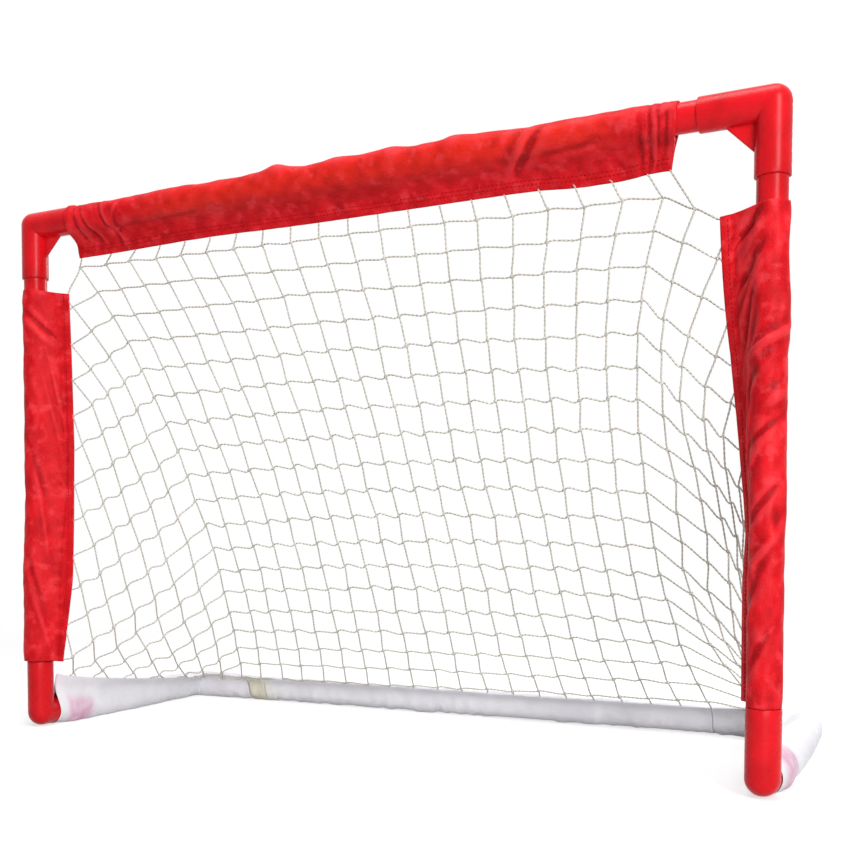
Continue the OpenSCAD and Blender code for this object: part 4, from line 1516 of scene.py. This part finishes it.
@dataclass(frozen=True)
class FrontStrip:
    """Ribbon sewn down the front of the rear sleeve, from its hem to the floor."""

    goal: GoalFrame
    name: str
    node: str
    slot: str
    finish: WovenRibbon
    thickness: float
    lift: float = 0.9 * MM
    wave: float = 0.25 * MM
    waves: float = 9.0
    drop: float = 30 * MM
    used_share: float = 0.84
    rows: int = 10
    columns: int = 40

    def build(self) -> Piece:
        """Return the ribbon's piece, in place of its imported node."""
        low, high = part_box(self.node)
        x = np.linspace(low.x, high.x, self.rows + 1)
        share = np.linspace(0, 1, self.columns + 1)
        line = Sleeves(self.goal).line(1)
        run = line.bend_end + self.goal.half_w - line.bend_r - (low.x + high.x) / 2
        plane, across = line.section.cut(*line.sizes(np.array([run])))
        front = plane[0, across[0] > 0][::-1]
        used = front[2:int(len(front) * self.used_share)]
        picked = np.stack([np.interp(share * (len(used) - 1), np.arange(len(used)), used[:, k])
                           for k in (0, 1)], axis=-1)
        ahead = unit(np.gradient(picked, axis=0))
        outward = as_points(-ahead[:, 1], ahead[:, 0])
        outward *= np.sign(np.sum(outward * picked, axis=1, keepdims=True) + 1e-9)
        picked = picked + outward * self.lift
        placed = line.place(np.array([run]), picked[None])[0]
        wave = self.wave * np.sin(np.linspace(0, self.waves, self.rows + 1))[:, None]
        points = np.zeros((self.rows + 1, self.columns + 1, 3))
        points[..., 0] = x[:, None]
        points[..., 1] = placed[None, :, 1] - wave * share[None, :]
        points[..., 2] = placed[None, :, 2]
        runs, drop = np.meshgrid(x, share * self.drop, indexing="ij")
        piece = cloth_grid(self.name, points, as_points(runs, drop), np.zeros(runs.shape),
                           self.finish, self.thickness)
        settle(piece, self.slot, self.node)
        return piece


# ---------------------------------------------------------------- net

@dataclass(frozen=True)
class NetSide:
    """How one side of the net is worked: its mesh, its hem and how many meshes lie between.

    Rows are counted down the corner column. Each pair of hem_rows is a row and the height in
    millimetres at which it meets the post's hem; each pair of meshes is a row and the number of
    meshes from the corner column to the hem.
    """

    side: int
    mesh: float
    first: float
    hem_x: float
    hem_rows: Pairs
    meshes: Pairs
    belly: float = 0.0

    def width(self, row: float) -> float:
        """Return the number of meshes between the corner column and the hem at a row."""
        return float(along(self.meshes, row))

    def ends(self, k: int) -> tuple[float, float]:
        """Return the rows at which a side column meets the post's hem and the base's hem."""
        rows, counts = (np.array(v) for v in zip(*self.meshes))
        widest = int(np.argmax(counts))
        first = float(np.interp(k, counts[:widest + 1], rows[:widest + 1]))
        last = float(np.interp(-k, -counts[widest:], rows[widest:]))
        return first, last


@dataclass(frozen=True)
class GoalNet:
    """Square-mesh net of one piece, sewn to the hems: a back between two corner columns, and two sides."""

    goal: GoalFrame
    crossbar: CrossbarSleeve
    posts: dict[int, PostSleeve]
    base: dict[int, BaseSleeve]
    columns: int = 19
    rows: int = 19
    cord_w: float = 1.75 * MM
    twist: float = 7.5 * MM
    steps: int = 9
    inset: float = 0.9 * MM
    left: NetSide = NetSide(
        side=-1, mesh=27.71 * MM, first=0.66, hem_x=-297.5,
        hem_rows=((0.0, 440.0), (1.0, 425.0), (2.0, 407.0), (3.0, 372.5), (12.0, 66.0)),
        meshes=((0.0, 0.5), (1.0, 0.9), (2.0, 1.1), (3.0, 2.1), (4.0, 3.1), (5.0, 4.1), (7.0, 5.1),
                (12.4, 7.6), (14.0, 6.5), (17.0, 3.5), (18.3, 2.4), (19.7, 0.4)))
    right: NetSide = NetSide(
        side=1, mesh=26.46 * MM, first=0.26, hem_x=250.0,
        hem_rows=((0.0, 430.0), (1.0, 415.0), (2.0, 387.0), (3.0, 352.0), (4.0, 313.0), (12.0, 66.0)),
        meshes=((0.0, 1.2), (1.0, 1.7), (2.0, 2.2), (3.0, 2.85), (4.0, 3.6), (5.0, 4.3), (7.0, 5.3),
                (12.4, 7.6), (14.0, 6.5), (17.0, 3.5), (18.3, 2.4), (19.7, 0.4)), belly=34.0)
    controls: tuple[tuple[float, float, float], ...] = (
        (288.16, 20.0, 459.0), (198.61, 26.6, 312.65), (220.72, 143.49, 105.55), (261.12, 238.0, 28.5))
    lean: tuple[float, float, float] = (-21.02, -0.23, 17.84)
    bulge: tuple[float, float, float] = (0.0, 9.5, 7.5)
    base_rows: Pairs = (
        (12.6, 18.5), (13.0, 26.0), (14.0, 54.0), (15.0, 98.0), (16.0, 140.0), (17.0, 187.0), (18.3, 238.0))
    foot_row: float = 12.6
    rear_row: float = 18.3
    rear_rows: float = 1.4
    rear_run: tuple[float, float] = (-8 * MM, 65 * MM)
    last_row: float = 19.6
    least_mesh: float = 0.12
    first_string: float = -261.0
    end_string: float = 267.5 * MM
    sag: float = 5.0
    sag_rows: tuple[float, float] = (5.0, 6.0)
    back_jitter: float = 0.6 * MM
    side_jitter: float = 0.8 * MM
    most_slack: float = 0.28
    fullness: float = 1.3
    play: tuple[float, float] = (0.7, 1.25)
    row_sway: float = 0.7 * MM
    column_sway: float = 0.3 * MM
    held_slack: float = 1.02
    random: np.random.Generator = field(default_factory=lambda: np.random.default_rng(5))

    def corner(self, panel: NetSide, row: float) -> Array:
        """Return the corner column's place at a row.

        Args:
            panel: The side whose corner column it is.
            row: The row, counted in meshes from the crossbar's hem; it may lie between two rows.

        Returns:
            The point, on the column's curve or on its straight ends.
        """
        share = np.linspace(0, 1, 201)[:, None]
        p = np.array(self.controls) * MM
        line = curve_through(*p, share)
        run = np.concatenate([[0], np.cumsum(np.linalg.norm(np.diff(line, axis=0), axis=1))])
        at = (row - panel.first) * panel.mesh
        point = np.array([np.interp(at, run, line[:, k]) for k in range(3)])
        point += unit(line[1] - line[0]) * min(at, 0.0) + unit(line[-1] - line[-2]) * max(at - run[-1], 0.0)
        q = at / run[-1]
        top, low, middle = (v * MM for v in self.lean)
        point[0] = panel.side * point[0] + mix(top, low, q) + middle * arch(q)
        point[1] += self.goal.front_y
        return point

    def back_knots(self) -> Array:
        """Return the knots of the back, rows by columns, with the corner columns."""
        knots = []
        for row in range(1, self.rows + 1):
            left, right = self.corner(self.left, row), self.corner(self.right, row)
            q = row / self.rows
            share = np.linspace(0, 1, self.columns + 1)[:, None]
            bulge = arch(share) * arch(q) * np.array(self.bulge) * MM
            knots.append(mix(left, right, share) + bulge)
        jitter = self.random.normal(0, self.back_jitter, (self.rows, self.columns + 1, 3))
        return np.array(knots) + jitter

    def side_edge(self, panel: NetSide, row: float, inset: float = 0.0) -> Array:
        """Return the hem's point that a row of the side reaches: post first, then base, then rear."""
        if row < self.foot_row:
            return self.posts[panel.side].hem_point(float(along(panel.hem_rows, row)) * MM, inset)
        base = self.base[panel.side]
        if row < self.rear_row:
            return base.hem_point(float(along(self.base_rows, row)) * MM, inset)
        share = (row - self.rear_row) / self.rear_rows
        start, end = self.rear_run
        return base.hem_point(mix(base.bend_end + start, base.bend_end + end, share), inset)

    def side_point(self, panel: NetSide, k: float, row: float) -> Array:
        """Return a point of a side panel, k meshes out from its corner column at a row."""
        share = min(k / panel.width(row), 1.0)
        start, rows = self.sag_rows
        sag = np.array([panel.side * panel.belly, 0.0, -self.sag]) * MM * arch(share)
        sag = sag * ease((row - start) / rows)
        return mix(self.corner(panel, row), self.side_edge(panel, row), share) + sag

    def cell(self, start: Array, end: Array, up: Array, length: float, least: float) -> Array:
        """Return a cord's line over one mesh: an S whose height takes up its slack.

        Args:
            start: Where the cord leaves a knot.
            end: Where it meets the next.
            up: The way in which it rises after its start.
            length: The cord's own length between the knots.
            least: The least height of its S.

        Returns:
            Points from start up to, but not with, end.
        """
        span = float(np.linalg.norm(end - start))
        slack = max(length / max(span, 1 * MM) - 1.0, 0.0)
        height = max(least, min(0.5 * math.sqrt(slack), self.most_slack) * span / math.pi * self.fullness)
        height *= self.random.uniform(*self.play)
        share = np.arange(self.steps)[:, None] / self.steps
        sway = np.sin(2 * math.pi * share) + 0.25 * np.sin(4 * math.pi * share)
        return mix(start, end, share) + up * height * sway

    def upright(self, stops: list[Array], depth: tuple[float, float, float], least: float) -> Array:
        """Return a column's line through its knots, which sways across the given way, never by nothing."""
        line = []
        for a, b in zip(stops[:-1], stops[1:]):
            aside = unit(np.cross(b - a, np.array(depth)) + least)
            line.append(self.cell(a, b, aside, 0.0, self.column_sway))
        return np.concatenate([*line, [stops[-1]]])

    def hem_x(self, column: int) -> float:
        """Return where a back column's string leaves the crossbar's hem."""
        if column == 0:
            return self.left.hem_x * MM
        return mix(self.first_string, self.right.hem_x, (column - 1) / (self.columns - 1)) * MM

    def back_lines(self, knots: Array) -> tuple[list[Array], list[Array]]:
        """Return the back's lines of cord.

        Args:
            knots: The back's knots, rows by columns.

        Returns:
            Its columns, from the crossbar's hem to the rear's, and its rows between the corners.
        """
        columns, rows = [], []
        for i in range(self.columns + 1):
            share = i / self.columns
            top = self.crossbar.hem_point(self.hem_x(i), self.inset)
            foot = mix(self.corner(self.left, self.last_row), self.corner(self.right, self.last_row), share)
            foot[1:] = self.rear_hem(self.inset)[1:]
            columns.append(self.upright([top, *knots[:, i], foot], (0.0, 1.0, 0.3), 0.0))
        for j in range(self.rows):
            line = []
            for i in range(self.columns):
                above = knots[j - 1, i] if j else knots[j, i] + np.array([0, 0, self.left.mesh])
                line.append(self.cell(knots[j, i], knots[j, i + 1], unit(above - knots[j, i]),
                                      self.left.mesh, self.row_sway))
            rows.append(np.concatenate([*line, [knots[j, -1]]]))
        return columns, rows

    def rear_hem(self, inset: float) -> Array:
        """Return the rear hem's point behind the goal's middle."""
        base = self.base[1]
        return base.hem_point(base.bend_end + self.goal.half_w - base.bend_r, inset)

    def side_grid(self, panel: NetSide, knots: Array) -> dict[tuple[int, int], Array]:
        """Return a side panel's knots by their mesh out from the corner column and their row."""
        corner_knots = knots[:, 0] if panel.side < 0 else knots[:, -1]
        grid: dict[tuple[int, int], Array] = {}
        for row in range(1, self.rows + 1):
            grid[(0, row)] = corner_knots[row - 1]
            k = 1
            while panel.width(row) - k > self.least_mesh:
                grid[(k, row)] = self.side_point(panel, k, row) + self.random.normal(0, self.side_jitter, 3)
                k += 1
        return grid

    def side_lines(self, panel: NetSide, knots: Array) -> tuple[list[Array], Array]:
        """Return a side panel's rows and columns, and its knots."""
        grid = self.side_grid(panel, knots)
        lines = [self.side_row(panel, grid, row) for row in range(1, self.rows + 1)]
        for k in range(1, max(k for k, _ in grid) + 1):
            lines.append(self.side_column(panel, grid, k))
        return lines, np.array([point for (k, _), point in grid.items() if k])

    def side_row(self, panel: NetSide, grid: dict[tuple[int, int], Array], row: int) -> Array:
        """Return one row of a side panel.

        Args:
            panel: The side.
            grid: Its knots, by their mesh out from the corner column and their row.
            row: The row.

        Returns:
            The row's line, from the corner column to the hem.
        """
        stops = [point for (_, at), point in grid.items() if at == row]
        stops.append(self.side_edge(panel, row, self.inset))
        up = np.array([0.0, 0.0, 1.0])
        line = []
        for n, (a, b) in enumerate(zip(stops[:-1], stops[1:])):
            held = n == len(stops) - 2
            length = float(np.linalg.norm(b - a)) * self.held_slack if held else panel.mesh
            if panel.side > 0:
                line.append(self.cell(a, b, up, length, self.row_sway))
            else:
                back = np.concatenate([self.cell(b, a, up, length, self.row_sway), [a]])
                line.append(back[::-1][:-1])
        return np.concatenate([*line, [stops[-1]]])

    def side_column(self, panel: NetSide, grid: dict[tuple[int, int], Array], k: int) -> Array:
        """Return one column of a side panel, from the post's or crossbar's hem to the base's."""
        held = sorted(row for (n, row) in grid if n == k)
        first, last = panel.ends(k)
        if panel.side > 0 and k == 1:
            top = self.crossbar.hem_point(self.end_string, self.inset)
        else:
            top = self.side_edge(panel, first, self.inset)
        stops = [top, *(grid[(k, row)] for row in held), self.side_edge(panel, last, self.inset)]
        return self.upright(stops, (0.0, 0.0, 1.0), 1e-9)

    def build(self) -> None:
        """Build the cords and knots of the back and of both sides."""
        cord = RepeatTree(Repeat.CORD, width=self.cord_w, pitch=self.twist, step=1.3 * MM)
        knot = RepeatTree(Repeat.KNOT, width=1.35 * self.cord_w, pitch=1.0, step=1.0)
        knots = self.back_knots()
        columns, rows = self.back_lines(knots)
        sides = {SIDES[panel.side]: self.side_lines(panel, knots) for panel in (self.left, self.right)}
        settle(cord.lay("net_back_columns", columns, NET_CORD), "net_cord", "net_back")
        settle(cord.lay("net_back_rows", rows, NET_CORD), "net_cord")
        for word, (lines, _) in sides.items():
            settle(cord.lay(f"net_side_{word}_cords", lines, NET_CORD), "net_cord", f"net_side_{word}")
        places = {"back": knots.reshape(-1, 3)}
        places.update({f"side_{word}": found for word, (_, found) in sides.items()})
        for word, points in places.items():
            settle(knot.lay(f"net_{word}_knots", [points], NET_CORD), "net_cord")


# ---------------------------------------------------------------- studio

@dataclass(frozen=True)
class SoftBox:
    """One soft lamp of the studio, aimed at a point of the goal."""

    name: str
    place: tuple[float, float, float]
    size: tuple[float, float]
    power: float
    aim: tuple[float, float, float] = (0.0, 0.0, 0.25)

    def build(self) -> None:
        """Add the lamp to the scene."""
        lamp = bpy.data.lights.new(self.name, "AREA")
        lamp.shape = "RECTANGLE"
        lamp.size, lamp.size_y = self.size
        lamp.energy = self.power
        piece = linked(self.name, lamp)
        piece.location = self.place
        piece.rotation_euler = (Vector(self.aim) - Vector(self.place)).to_track_quat("-Z", "Y").to_euler()


@dataclass(frozen=True)
class Studio:
    """Pale floor, white surroundings, soft lamps and the camera."""

    goal: GoalFrame
    frame_px: float = 865.0
    focal_px: float = 1160.62
    centre_px: tuple[float, float] = (350.0, 594.36)
    sensor: float = 36.0
    yaw: float = -28.144
    pitch: float = -2.759
    stand: tuple[float, float, float] = (0.4717, -0.8696, 0.1862)
    surround: float = 0.17
    floor_r: float = 14.0
    floor_grey: float = 0.55
    floor_glow: float = 0.62
    fade: tuple[float, float] = (0.7, 1.5)
    boxes: tuple[SoftBox, ...] = (
        SoftBox("key_box", (1.7, -1.75, 1.2), (0.7, 1.3), 39.0),
        SoftBox("top_box", (0.1, -0.3, 2.1), (1.6, 0.9), 25.0),
        SoftBox("low_front_box", (1.1, -2.1, 0.3), (1.0, 0.5), 12.0),
        SoftBox("back_box", (0.4, 2.3, 1.1), (0.9, 0.9), 17.0),
    )

    def build(self) -> None:
        """Build the floor, the surroundings, the lamps and the camera."""
        self.add_floor()
        self.add_world()
        for box in self.boxes:
            box.build()
        self.add_camera()
        bpy.context.scene.view_settings.view_transform = "Standard"

    def seen(self, tree: Tree) -> Any:
        """Return a socket that is 1 for rays that show the surroundings, directly or in gloss."""
        path = add_node(tree, "ShaderNodeLightPath").outputs
        first = worked_out(tree, "MAXIMUM", path["Is Camera Ray"], path["Is Glossy Ray"])
        return worked_out(tree, "MAXIMUM", first, path["Is Transmission Ray"])

    def add_floor(self) -> None:
        """Add the floor, which stays white far out and keeps the goal's soft shadow."""
        form = bmesh.new()
        bmesh.ops.create_circle(form, cap_ends=True, segments=64, radius=self.floor_r)
        mesh = mesh_of(form, "floor")
        paper = bpy.data.materials.new("studio_paper")
        tree = cleared(paper)
        radius = add_node(tree, "ShaderNodeVectorMath", {0: object_map(tree)}, operation="LENGTH")
        grey = (self.floor_grey, self.floor_grey, self.floor_grey, 1.0)
        matt = add_node(tree, "ShaderNodeBsdfDiffuse", {"Color": grey}).outputs[0]
        glow = add_node(tree, "ShaderNodeEmission", {"Strength": self.floor_glow}).outputs[0]
        near = add_node(tree, "ShaderNodeAddShader", {0: matt, 1: glow}).outputs[0]
        white = add_node(tree, "ShaderNodeEmission", {"Strength": 1.0}).outputs[0]
        far = ramp(tree, radius.outputs["Value"], *self.fade)
        shown = add_node(tree, "ShaderNodeMixShader", {0: far, 1: near, 2: white}).outputs[0]
        either = add_node(tree, "ShaderNodeMixShader", {0: self.seen(tree), 1: matt, 2: shown})
        add_node(tree, "ShaderNodeOutputMaterial", {0: either.outputs[0]})
        mesh.materials.append(paper)
        floor = linked("floor", mesh)

    def add_world(self) -> None:
        """Add white surroundings that light the goal at a plain level."""
        world = bpy.data.worlds.new("studio_surround")
        tree = cleared(world)
        strength = add_node(tree, "ShaderNodeMix", {0: self.seen(tree), 2: self.surround, 3: 1.0},
                            data_type="FLOAT")
        glow = add_node(tree, "ShaderNodeBackground", {"Color": (1.0, 1.0, 1.0, 1.0),
                                                       "Strength": strength.outputs[0]})
        add_node(tree, "ShaderNodeOutputWorld", {0: glow.outputs[0]})
        bpy.context.scene.world = world

    def add_camera(self) -> None:
        """Add the camera with the lens and the framing that it stands at."""
        lens = bpy.data.cameras.new("camera")
        lens.sensor_width = self.sensor
        lens.lens = self.focal_px / self.frame_px * self.sensor
        lens.shift_x = (self.frame_px / 2 - self.centre_px[0]) / self.frame_px
        lens.shift_y = (self.centre_px[1] - self.frame_px / 2) / self.frame_px
        lens.clip_end = 60.0
        camera = linked("camera", lens)
        x, y, z = self.stand
        camera.location = (x, y + self.goal.front_y, z)
        yaw, pitch = math.radians(self.yaw), math.radians(self.pitch)
        ahead = Vector((math.sin(yaw) * math.cos(pitch), math.cos(yaw) * math.cos(pitch), math.sin(pitch)))
        camera.rotation_euler = ahead.to_track_quat("-Z", "Y").to_euler()
        bpy.context.scene.camera = camera


# ---------------------------------------------------------------- assembly


def main() -> None:
    """Build the goal's looks in order and report each piece."""
    logging.basicConfig(level=logging.INFO, format="%(name)s: %(message)s")
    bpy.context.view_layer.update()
    goal = GoalFrame.measured()
    log.info("frame %s", goal)
    Studio(goal).build()
    TubeFrame().dress()
    for corner in Corner:
        ElbowFitting(goal, corner).build()
    sleeves = Sleeves(goal)
    sleeves.build()
    FrontStrip(goal, "closure_tape_ribbon", "closure_tape", "cream_tape", CREAM_TAPE, 0.6 * MM).build()
    FrontStrip(goal, "blank_label", "sewn_label", "label_cloth", LABEL_RIBBON, 0.4 * MM).build()
    posts = {side: sleeves.post(side) for side in SIDES}
    lines = {side: sleeves.line(side) for side in SIDES}
    GoalNet(goal, sleeves.crossbar(), posts, lines).build()


if __name__ == "__main__":
    main()
